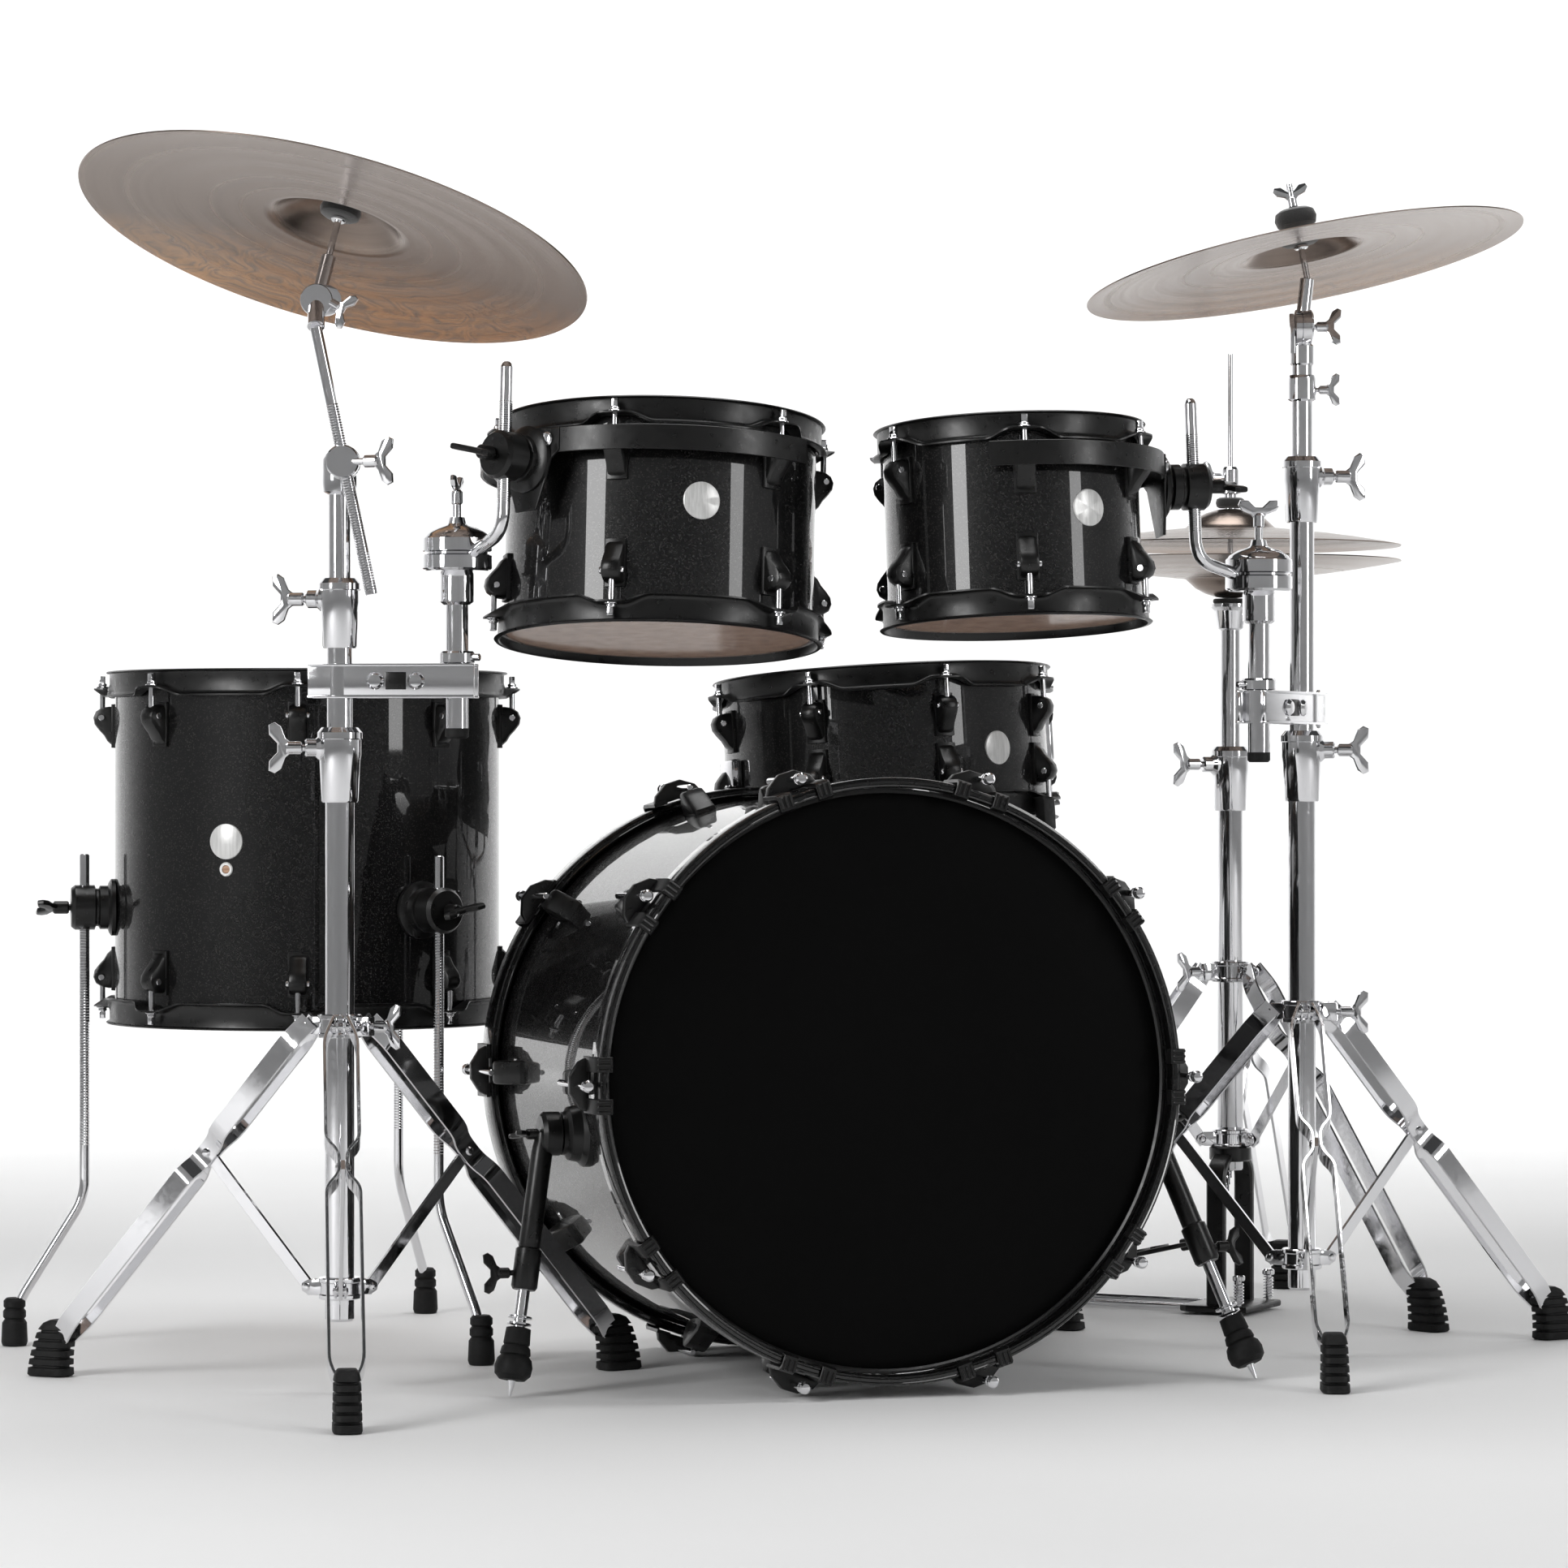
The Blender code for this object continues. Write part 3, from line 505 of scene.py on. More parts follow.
LOOKS = {
    "sparkle": (sparkle_lacquer, "black_sparkle"),
    "gloss": (gloss_black, "black_lacquer"),
    "satin": (satin_black, "black_metal"),
    "chrome": (chrome, "chrome"),
    "black_film": (black_film, "black_skin"),
    "clear_film": (clear_film, "clear_skin"),
    "coated_film": (lambda: head_film("coated_film", (0.78, 0.76, 0.73), 0.45, 0.25), "clear_skin"),
    "plywood": (plywood, "black_sparkle"),
    "rubber": (rubber, "black_metal"),
    "felt": (felt, "black_metal"),
    "badge": (badge_metal, "chrome"),
}
_made = {}


def look(name):
    if name not in _made:
        _made[name] = LOOKS[name][0]()
    return _made[name]


def piece(name, body, finish, shapes, stands_for=(), angle=32.0, material=None):
    """One visible piece made of shapes, riding on a body, with its material."""
    joined = bmesh.new()
    for shape in shapes:
        part = bpy.data.meshes.new("shape")
        shape.to_mesh(part)
        shape.free()
        joined.from_mesh(part)
        bpy.data.meshes.remove(part)
    mesh = bpy.data.meshes.new(name)
    joined.to_mesh(mesh)
    joined.free()
    mesh.shade_smooth()
    mesh.set_sharp_from_angle(angle=math.radians(angle))
    made = bpy.data.objects.new(name, mesh)
    bpy.context.scene.collection.objects.link(made)
    mesh.materials.append(material or look(finish))
    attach(made, body)
    if stands_for:
        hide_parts(*stands_for)
    return made


# ---------------------------------------------------------------- drums


def place(at, back, right):
    """The frame of a drum or cymbal, leaning back and to the right by degrees, as its CAD solids do."""
    turned = Matrix.Rotation(math.radians(right), 4, "Y") @ Matrix.Rotation(math.radians(-back), 4, "X")
    return Matrix.Translation(at) @ turned


# Sizes of the shells, how each drum leans, and the bearings of its lugs and badge.
DRUMS = {
    "floor_tom": dict(inches=8, depth=14, back=0.0, right=0.0, lugs=8, first=2.5, badge=-19.0, badge_z=0.008),
    "left_tom": dict(inches=6, depth=8, back=6.5, right=1.0, lugs=6, first=-14.6, badge=16.3, badge_z=0.010),
    "right_tom": dict(
        inches=5, depth=7.25, back=3.8, right=-1.9, lugs=6, first=3.5, badge=33.6, badge_z=0.006
    ),
    "snare": dict(inches=7, depth=6, back=3.0, right=-3.1, lugs=8, first=20.0, badge=41.8, badge_z=-0.010),
}
LUG_INSET = 0.047
ROD_OUT = 0.0135
EAR_DROP = 0.010
WIRE_COUNT = 20


def hoop(radius, rods, first, matrix, up):
    """A triple-flanged steel hoop: its lowest flange runs out into an ear at each tension rod."""
    shape = bmesh.new()
    rows = []
    steps = 288
    inner = radius + 0.003
    for i in range(steps):
        bearing = 360.0 * i / steps
        away = (bearing - first + 180.0 / rods) % (360.0 / rods) - 180.0 / rods
        arc = abs(math.radians(away)) * radius
        t = min(max((0.036 - arc) / 0.026, 0.0), 1.0)
        ear = t * t * (3 - 2 * t)
        z = -0.0185 + ear * (0.0185 - EAR_DROP)
        reach = 0.0045 + 0.0115 * ear
        profile = [
            (0.0, z - 0.0012),
            (0.0, 0.0066),
            (0.0014, 0.008),
            (0.0050, 0.0076),
            (0.0060, 0.0064),
            (0.0048, 0.0054),
            (0.0026, 0.0050),
            (0.0022, 0.0035),
            (0.0022, z + 0.005),
            (0.0032, z + 0.0022),
            (0.0052, z + 0.0008),
            (0.003 + reach, z + 0.0004),
            (0.003 + reach, z - 0.0012),
        ]
        turn = facing(bearing)
        rows.append([shape.verts.new(matrix @ (turn @ Vector((inner + r, 0, up * h)))) for r, h in profile])
    for row, following in zip(rows, rows[1:] + rows[:1]):
        for j in range(len(row)):
            k = (j + 1) % len(row)
            shape.faces.new((row[j], following[j], following[k], row[k]))
    bmesh.ops.recalc_face_normals(shape, faces=shape.faces)
    return shape


def lug(matrix):
    """A lug casing: a round nose with a cross pin towards the rim, thinning to a tail on the shell."""
    outline = [
        (-0.003, 0.018),
        (0.006, 0.0182),
        (0.014, 0.0168),
        (0.0200, 0.0130),
        (0.0228, 0.0065),
        (0.0215, -0.0005),
        (0.0170, -0.0065),
        (0.0115, -0.0125),
        (0.0080, -0.0185),
        (0.0035, -0.0225),
        (-0.003, -0.0240),
    ]
    upright = matrix @ Matrix.Rotation(math.radians(90), 4, "X")
    foot = [(-0.003, 0.021), (0.0035, 0.0205), (0.0035, -0.0255), (-0.003, -0.026)]
    return [slab(outline, 0.0195, upright, 0.0042), slab(foot, 0.0215, upright, 0.0014)]


def tension_rod(matrix, lug_z, ear_z):
    """The chrome rod from its square head, over a washer on the hoop's ear, down into the lug."""
    up = 1 if ear_z > lug_z else -1
    x = ROD_OUT
    top = ear_z + up * 0.0006
    shapes = [
        rod((x, 0, lug_z + up * 0.010), (x, 0, top), 0.0029, SMALL),
        rod((x, 0, top), (x, 0, top + up * 0.0016), 0.0066, MEDIUM, 0.0005),
        rod((x, 0, top + up * 0.0016), (x, 0, top + up * 0.0050), 0.0046, MEDIUM, 0.0008),
        block((x, 0, top + up * 0.0085), (0.0062, 0.0062, 0.0085), edge=0.0007),
        rod((x, -0.0122, lug_z + up * 0.0065), (x, 0.0122, lug_z + up * 0.0065), 0.0034, SMALL),
    ]
    return [moved(shape, matrix) for shape in shapes]


def shell(name, body, radius, half, home, lie=None):
    """The lacquered outside and the bare ply inside, with bearing edges cut to a blunt point."""
    skin = 0.0012
    turn = home @ (lie or Matrix())
    outer = ring(
        [
            (radius - skin, -half + 0.003),
            (radius, -half + 0.0042),
            (radius, half - 0.0042),
            (radius - skin, half - 0.003),
        ],
        FINE,
        turn,
    )
    inside = radius - SHELL_WALL
    inner = ring(
        [
            (inside, -half + 0.005),
            (radius - 0.0035, -half),
            (radius - 0.0022, -half + 0.0004),
            (radius - skin - 0.0001, -half + 0.0030),
            (radius - skin - 0.0001, half - 0.0030),
            (radius - 0.0022, half - 0.0004),
            (radius - 0.0035, half),
            (inside, half - 0.005),
        ],
        FINE,
        turn,
    )
    piece(f"{name}_lacquer", body, "sparkle", [outer], [f"{name}_shell"])
    piece(f"{name}_plies", body, "plywood", [inner])


def badge(name, body, radius, bearing, z, home, vent=True):
    """A plain round plate that follows the shell, over an air vent."""
    shapes = []
    steps, size = 32, 0.0185
    plate = bmesh.new()
    rings = []
    for r, out in ((0.0, 0.0017), (size - 0.0012, 0.0015), (size - 0.0005, 0.0011), (size, -0.0005)):
        row = []
        for i in range(steps if r else 1):
            a = 2 * math.pi * i / steps
            across, high = r * math.cos(a), r * math.sin(a)
            turn = facing(bearing + math.degrees(across / radius))
            row.append(plate.verts.new(home @ (turn @ Vector((radius + out, 0, z + high)))))
        rings.append(row)
    for row, following in zip(rings, rings[1:]):
        for i in range(steps):
            j = (i + 1) % steps
            plate.faces.new(
                list(dict.fromkeys([row[i % len(row)], row[j % len(row)], following[j], following[i]]))
            )
    bmesh.ops.recalc_face_normals(plate, faces=plate.faces)
    shapes.append(plate)
    piece(f"{name}_badge", body, "badge", shapes)
    if not vent:
        return
    at = home @ facing(bearing) @ shift(radius, 0, z - 0.0285) @ Matrix.Rotation(math.radians(90), 4, "Y")
    eyelet = ring(
        [(0.0040, -0.001), (0.0044, 0.0012), (0.0066, 0.0012), (0.0074, 0.0002), (0.0070, -0.001)],
        MEDIUM,
        at,
    )
    piece(f"{name}_vent", body, "badge", [eyelet])
    piece(f"{name}_vent_hole", body, "plywood", [moved(rod((0, 0, -0.0005), (0, 0, 0.0006), 0.0041), at)])


def film(radius, z, up, home):
    """A head: a thin film that turns down over the bearing edge into its aluminium flesh hoop."""
    profile = [
        (0.0, 0.0),
        (radius * 0.5, 0.0),
        (radius - 0.012, 0.0),
        (radius - 0.003, 0.0),
        (radius + 0.0012, -0.0018),
    ]
    top = [(r, z + up * (0.0005 + h)) for r, h in profile]
    under = [(r, h - up * 0.00025) for r, h in reversed(top)]
    shape = bmesh.new()
    rows = []
    for r, h in [*top, *under]:
        count = FINE if r > 1e-6 else 1
        angles = [2 * math.pi * i / FINE for i in range(count)]
        rows.append([shape.verts.new(home @ Vector((r * math.cos(a), r * math.sin(a), h))) for a in angles])
    for row, following in zip(rows, rows[1:]):
        for i in range(FINE):
            j = (i + 1) % FINE
            corners = [
                row[i % len(row)],
                row[j % len(row)],
                following[j % len(following)],
                following[i % len(following)],
            ]
            unique = list(dict.fromkeys(corners))
            if len(unique) > 2:
                shape.faces.new(unique)
    bmesh.ops.recalc_face_normals(shape, faces=shape.faces)
    return shape


def drum(name, body, batter, vent=True):
    """A whole drum in its own frame, from the middles of its two hoops; returns that frame."""
    size = DRUMS[name]
    radius, half = size["inches"] * INCH, size["depth"] * INCH / 2
    home = place(
        (middle(f"{name}_top_hoop") + middle(f"{name}_bottom_hoop")) / 2, size["back"], size["right"]
    )
    shell(name, body, radius, half, home)
    lugs, chromed = [], []
    for up, side in ((1, "top"), (-1, "bottom")):
        rim = home @ shift(0, 0, up * half)
        made = hoop(radius, size["lugs"], size["first"], rim, up)
        piece(f"{name}_{side}_rim", body, "satin", [made], [f"{name}_{side}_hoop"], angle=50)
        counter = ring(
            [
                (radius + 0.0006, -0.0030),
                (radius + 0.0006, 0.0002),
                (radius + 0.0024, 0.0002),
                (radius + 0.0024, -0.0030),
            ],
            FINE,
        )
        lie = Matrix.Diagonal((1, 1, up, 1))
        chromed.append(moved(counter, rim @ lie))
        for i in range(size["lugs"]):
            turn = home @ facing(size["first"] + 360.0 * i / size["lugs"])
            lug_z = up * (half - LUG_INSET)
            lugs += lug(turn @ shift(radius, 0, lug_z) @ lie)
            chromed += tension_rod(turn @ shift(radius, 0, 0), lug_z, up * (half - EAR_DROP))
    for shape in lugs:
        bmesh.ops.recalc_face_normals(shape, faces=shape.faces)
    piece(f"{name}_lugs", body, "satin", lugs)
    piece(f"{name}_tension_rods", body, "chrome", chromed)
    piece(f"{name}_batter_film", body, batter, [film(radius, half, 1, home)], [f"{name}_batter_head"])
    resonant = [f"{name}_resonant_head"] if f"{name}_resonant_head" in frame["nodes"] else []
    piece(f"{name}_resonant_film", body, "clear_film", [film(radius, -half, -1, home)], resonant)
    badge(name, body, radius, size["badge"], size["badge_z"], home, vent)
    return home, radius, half


def wing(at, direction, up, scale=1.0, reach=0.012):
    """A cast wing screw: a stub, a hub and two swept blades, from at along direction."""
    outline = [
        (-0.004, 0.0),
        (-0.0045, 0.007),
        (-0.009, 0.013),
        (-0.0195, 0.017),
        (-0.0235, 0.023),
        (-0.021, 0.0285),
        (-0.012, 0.028),
        (-0.004, 0.0205),
        (0.004, 0.0205),
        (0.012, 0.028),
        (0.021, 0.0285),
        (0.0235, 0.023),
        (0.0195, 0.017),
        (0.009, 0.013),
        (0.0045, 0.007),
        (0.004, 0.0),
    ]
    z = Vector(direction).normalized()
    x = (Vector(up) - Vector(up).dot(z) * z).normalized()
    turn = Matrix((x, z, x.cross(z))).transposed().to_4x4()
    home = Matrix.Translation(at) @ turn
    blades = slab(
        [(x * scale, (y + reach) * scale) for x, y in outline], 0.0055 * scale, home, 0.0018 * scale
    )
    hub = moved(
        rod(
            (0, (reach - 0.002) * scale, 0),
            (0, (reach + 0.013) * scale, 0),
            0.0062 * scale,
            SMALL,
            0.0015,
        ),
        home,
    )
    stub = moved(rod((0, 0, 0), (0, reach * scale, 0), 0.0032 * scale, SMALL), home)
    return [blades, hub, stub]


def bracket(name, body, home, bearing, reach, height, inner, wing_side=1.0, disc=0.030):
    """A round black bracket on a drum: a flange, a stepped body bored for the rod, and its wing screw."""
    turn = home @ facing(bearing) @ shift(0, 0, height)
    shapes = [
        moved(
            spun(
                [(disc, 0), (disc, 0.004), (disc - 0.0035, 0.0065), (0.0195, 0.0085), (0.0185, 0.013)],
                (inner, 0, 0),
                RIGHT,
                MEDIUM,
            ),
            turn,
        ),
        moved(
            spun(
                [
                    (0.0200, 0),
                    (0.0230, 0.0015),
                    (0.0230, 0.010),
                    (0.0200, 0.0115),
                    (0.0200, 0.014),
                    (0.0236, 0.0155),
                    (0.0236, 0.036),
                    (0.0205, 0.040),
                    (0.0, 0.041),
                ],
                (reach - 0.026, 0, 0),
                RIGHT,
                MEDIUM,
            ),
            turn,
        ),
    ]
    screw = turn @ Vector((reach + 0.013, 0, 0))
    out = (turn.to_3x3() @ RIGHT).normalized()
    across = (turn.to_3x3() @ Vector((0, 1, 0))).normalized()
    shapes += wing(screw, out, across * wing_side + UP * 0.25, 1.1, 0.005)
    piece(f"{name}_bracket", body, "satin", shapes)


def floor_tom():
    home, radius, _ = drum("floor_tom", "kit_frame", "clear_film")
    height = 0.46 - home.translation.z
    for name in ("left", "right", "rear"):
        body = f"floor_tom_leg_{name}"
        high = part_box(body)[1][2]
        bearing = {"left": -80.0, "right": 40.0, "rear": 160.0}[name]
        bracket(f"floor_tom_{name}", "kit_frame", home, bearing, 0.235, height, radius)
        turn = Matrix.Translation((home.translation.x, home.translation.y, 0)) @ facing(bearing)
        path = rounded_path(
            [(0.235, 0, high), (0.235, 0, 0.155), (0.304, 0, 0.045), (0.307, 0, 0.014)], 0.02
        )
        leg = moved(sweep(path, circle(0.0053), (0, 1, 0)), turn)
        cap = moved(rod((0.235, 0, high - 0.001), (0.235, 0, high + 0.0012), 0.0048, SMALL), turn)
        knurls = [
            moved(
                ring(
                    [(0.0052, z), (0.0057, z + 0.0006), (0.0052, z + 0.0012)], SMALL, shift(0.235, 0, 0)
                ),
                turn,
            )
            for z in knurl(0.21, 0.44)
        ]
        piece(f"{body}_bar", body, "chrome", [leg, cap, *knurls], [body])
        profile = [
            (0.0085, 0.05),
            (0.0115, 0.047),
            (0.0115, 0.041),
            (0.0098, 0.039),
            (0.0120, 0.036),
            (0.0120, 0.030),
            (0.0102, 0.028),
            (0.0130, 0.024),
            (0.0138, 0.004),
            (0.0125, 0.0),
        ]
        foot = moved(spun(profile, (0.308, 0, 0), UP, MEDIUM), turn)
        piece(f"{body}_foot", body, "rubber", [foot])


def knurl(low, high, pitch=0.0030):
    return [low + pitch * i for i in range(int((high - low) / pitch))]


TOM_MOUNTS = {
    "left_tom": dict(bearing=-45.0, reach=0.208, height=0.050, tip=0.136, bend=-0.012),
    "right_tom": dict(bearing=102.0, reach=0.189, height=0.040, tip=0.124, bend=-0.022),
}


def band_arc(radius, start, end, low, high, thickness, home, steps=48):
    """A strip bent round a drum from one bearing to another."""
    path = []
    for i in range(steps + 1):
        bearing = start + (end - start) * i / steps
        path.append(facing(bearing) @ Vector((radius + thickness / 2, 0, (low + high) / 2)))
    return moved(sweep(path, rectangle(high - low, thickness), UP), home)


def screw_head(at, out, radius=0.0062):
    """A domed cross-head screw."""
    dome = spun(
        [(radius, 0), (radius, 0.0008), (radius * 0.8, 0.0026), (radius * 0.35, 0.0034), (0.0, 0.0035)],
        at,
        out,
        SMALL,
    )
    return dome


def suspension(name, home, radius, half, bearing, spread, plate_low):
    """The band that holds a rack tom by its tension rods, with the bracket's plate."""
    low, high = half - 0.0475, half - 0.0235
    gap = 0.0235
    shapes = [band_arc(radius + gap, bearing - spread, bearing + spread, low, high, 0.0026, home, 72)]
    outline = [
        (-0.040, high),
        (0.040, high),
        (0.040, high - 0.022),
        (0.031, high - 0.030),
        (0.024, high - 0.052),
        (0.014, plate_low),
        (-0.014, plate_low),
        (-0.024, high - 0.052),
        (-0.031, high - 0.030),
        (-0.040, high - 0.022),
    ]
    turn = home @ facing(bearing) @ shift(
        radius + gap + 0.0030, 0, 0
    ) @ Matrix.Rotation(math.radians(90), 4, "Y")
    plate = slab([(-z, x) for x, z in outline], 0.0030, turn, 0.0008)
    for vertex in plate.verts:
        local = home.inverted() @ vertex.co
        flat = facing(bearing).inverted() @ local
        out = flat.x - (radius + gap + 0.0030)
        angle = flat.y / (radius + gap)
        r = radius + gap + 0.0030 + out
        vertex.co = home @ (facing(bearing) @ Vector((r * math.cos(angle), r * math.sin(angle), flat.z)))
    shapes.append(plate)
    piece(f"{name}_suspension", name, "satin", shapes)
    bolts = []
    for side in (-1, 1):
        at = bearing + side * math.degrees(0.026 / (radius + gap))
        spot = home @ (facing(at) @ Vector((radius + gap + 0.0044, 0, high - 0.011)))
        bolts.append(screw_head(spot, (home @ facing(at)).to_3x3() @ RIGHT, 0.0072))
    piece(f"{name}_suspension_screws", name, "chrome", bolts)


def rack_tom(name):
    home, radius, half = drum(name, name, "clear_film", vent=False)
    mount = TOM_MOUNTS[name]
    spread = 98.0 if name == "left_tom" else 112.0
    suspension(name, home, radius, half, mount["bearing"], spread, mount["height"] - 0.05)
    bracket(
        f"{name}_mount",
        name,
        home,
        mount["bearing"],
        mount["reach"],
        mount["height"],
        radius + 0.026,
        -1.0 if name == "left_tom" else 1.0,
        0.0325,
    )
    side = name.split("_")[0]
    ball = pivot(f"{side}_tom_tilt")
    to_rod = home @ facing(mount["bearing"])
    corner = to_rod @ Vector((mount["reach"], 0, mount["bend"] - 0.012))
    inward = (ball - corner) * Vector((1, 1, 0))
    inward.normalize()
    points = [to_rod @ Vector((mount["reach"], 0, mount["tip"])), corner, ball - 0.030 * inward]
    path = rounded_path(points, 0.022, 8)
    across = UP.cross(inward)
    shapes = [sweep(path, circle(0.00635, 20), across)]
    axis = (to_rod.to_3x3() @ UP).normalized()
    shapes.append(
        spun([(0.0063, 0), (0.0045, 0.004), (0.0028, 0.0055), (0.0, 0.0058)], points[0], axis, SMALL)
    )
    for z in [*knurl(mount["height"] - 0.045, mount["height"] + 0.055, 0.0022)]:
        shapes.append(
            ring(
                [(0.0062, z), (0.0067, z + 0.0006), (0.0062, z + 0.0012)],
                SMALL,
                to_rod @ shift(mount["reach"], 0, 0),
            )
        )
    piece(f"{name}_rod", f"{name}_l_rod", "chrome", shapes, [f"{name}_l_rod"])
    tom_holder(name, ball)


def tom_holder(name, ball):
    """The post in the multi-clamp, with its memory ring, and the split drum that grips the ball."""
    body = f"{name}_holder"
    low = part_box(body)[0][2]
    x, y, z = ball
    at = lambda height: Vector((x, y, height))
    side = -1 if name == "left_tom" else 1
    across = Vector((0.15, 1, 0)) if name == "left_tom" else Vector((1, 0.15, 0))
    shapes = [
        rod(at(low + 0.004), at(z - 0.040), 0.0111),
        spun([(0.0128, 0), (0.0165, 0.003), (0.0165, 0.030), (0.0150, 0.034)], at(z - 0.050), UP),
        ring(
            [
                (0.024, -0.0165),
                (0.0325, -0.0160),
                (0.034, -0.0145),
                (0.034, -0.0022),
                (0.0325, -0.0012),
                (0.024, -0.0012),
            ],
            48,
            Matrix.Translation(ball),
        ),
        ring(
            [
                (0.024, 0.0012),
                (0.0325, 0.0012),
                (0.034, 0.0022),
                (0.034, 0.0145),
                (0.0325, 0.0160),
                (0.024, 0.0165),
            ],
            48,
            Matrix.Translation(ball),
        ),
        spun(
            [
                (0.0325, 0),
                (0.030, 0.004),
                (0.022, 0.009),
                (0.012, 0.012),
                (0.009, 0.014),
                (0.0075, 0.020),
            ],
            at(z + 0.015),
            UP,
        ),
        spun([(0.0, 0), (0.030, 0.0005), (0.0325, 0.003), (0.0325, 0.005)], at(z - 0.0175), UP),
        spun([(0.0300, 0), (0.0300, 0.026)], at(z - 0.013), UP),
        rod(at(z + 0.026), at(z + 0.062), 0.0042, SMALL),
        *wing(at(z + 0.040), UP, across, 0.92, 0.010),
    ]
    piece(f"{body}_post", body, "chrome", shapes, [body])
    stand = name.removesuffix("_tom")
    rim = STANDS[stand]["clamp"] + 0.0168
    lug_out = Vector((-side, -0.35, 0)).normalized()
    lock = [
        spun([(0.0118, 0), (0.0175, 0.001), (0.0175, 0.010), (0.0160, 0.012), (0.0118, 0.012)], at(rim), UP),
        rod(at(rim + 0.006) + lug_out * 0.014, at(rim + 0.006) + lug_out * 0.024, 0.0036, SMALL),
    ]
    piece(f"{stand}_clamp_lock", f"{stand}_upper_tube", "chrome", lock)
    cap = spun([(0.0095, 0), (0.0116, 0.002), (0.0116, 0.010)], at(low), UP)
    piece(f"{body}_cap", body, "rubber", [cap])


# ---------------------------------------------------------------- bass drum

BASS_RADIUS = 11 * INCH
BASS_LENGTH = 0.509
BASS_HOOP = 0.2925
HOOP_WIDTH = 0.038
CLAWS = 10
SPUR_FEET = {"left": (-0.357, 0.101), "right": (0.3885, 0.0456)}


def bass_frame():
    front, rear = middle("bass_front_hoop"), middle("bass_rear_hoop")
    axis = (rear - front).normalized()
    across = axis.cross(UP).normalized()
    turn = Matrix((across, axis, across.cross(axis))).transposed().to_4x4()
    return Matrix.Translation(front - axis * HOOP_WIDTH / 2) @ turn


def claw(turn, edge, inwards):
    """One claw: two ribbed fingers over the hoop, a bridge behind them and a round-headed rod to its lug."""
    black, bright = [], []
    outer = BASS_HOOP + 0.0028
    y = lambda distance: edge + inwards * distance
    for side in (-0.020, 0.020):
        path = [
            (side, y(0.046), outer),
            (side, y(0.002), outer),
            (side, y(-0.0022), outer - 0.0022),
            (side, y(-0.0022), BASS_HOOP - 0.0105),
            (side, y(0.0035), BASS_HOOP - 0.0120),
        ]
        black.append(sweep(path, rectangle(0.0145, 0.0038), RIGHT))
        for offset in (-0.0052, 0.0, 0.0052):
            black.append(
                rod(
                    (side + offset, y(-0.0040), BASS_HOOP + 0.003),
                    (side + offset, y(-0.0040), BASS_HOOP - 0.0095),
                    0.0014,
                    8,
                )
            )
    bridge = [(-0.027, 0.0), (-0.022, 0.010), (-0.008, 0.019), (0.008, 0.019), (0.022, 0.010), (0.027, 0.0)]
    stand = Matrix.Translation((0, y(0.040), outer - 0.001)) @ Matrix.Rotation(math.radians(90), 4, "X")
    black.append(slab(bridge, 0.011, stand, 0.0022))
    out = outer + 0.0105
    bright += [
        rod((0, y(0.002), out), (0, y(0.105), out), 0.0032, SMALL),
        spun(
            [
                (0.0, 0),
                (0.0042, 0.0008),
                (0.0060, 0.0035),
                (0.0060, 0.006),
                (0.0042, 0.0085),
                (0.0032, 0.0105),
                (0.0055, 0.0115),
                (0.0055, 0.0150),
            ],
            (0, y(-0.012), out),
            (0, inwards, 0),
            SMALL,
        ),
    ]
    casing = [
        (-0.003, 0.024),
        (0.010, 0.024),
        (0.018, 0.0205),
        (0.0235, 0.014),
        (0.0235, 0.004),
        (0.018, -0.006),
        (0.010, -0.016),
        (0.004, -0.025),
        (-0.003, -0.027),
    ]
    rest = Matrix.Translation((0, y(0.112), BASS_RADIUS))
    side_on = Matrix(((0, 0, 1, 0), (0, -inwards, 0, 0), (1, 0, 0, 0), (0, 0, 0, 1)))
    black.append(slab(casing, 0.024, rest @ side_on, 0.004))
    for shape in (*black, *bright):
        moved(shape, turn)
        bmesh.ops.recalc_face_normals(shape, faces=shape.faces)
    return black, bright


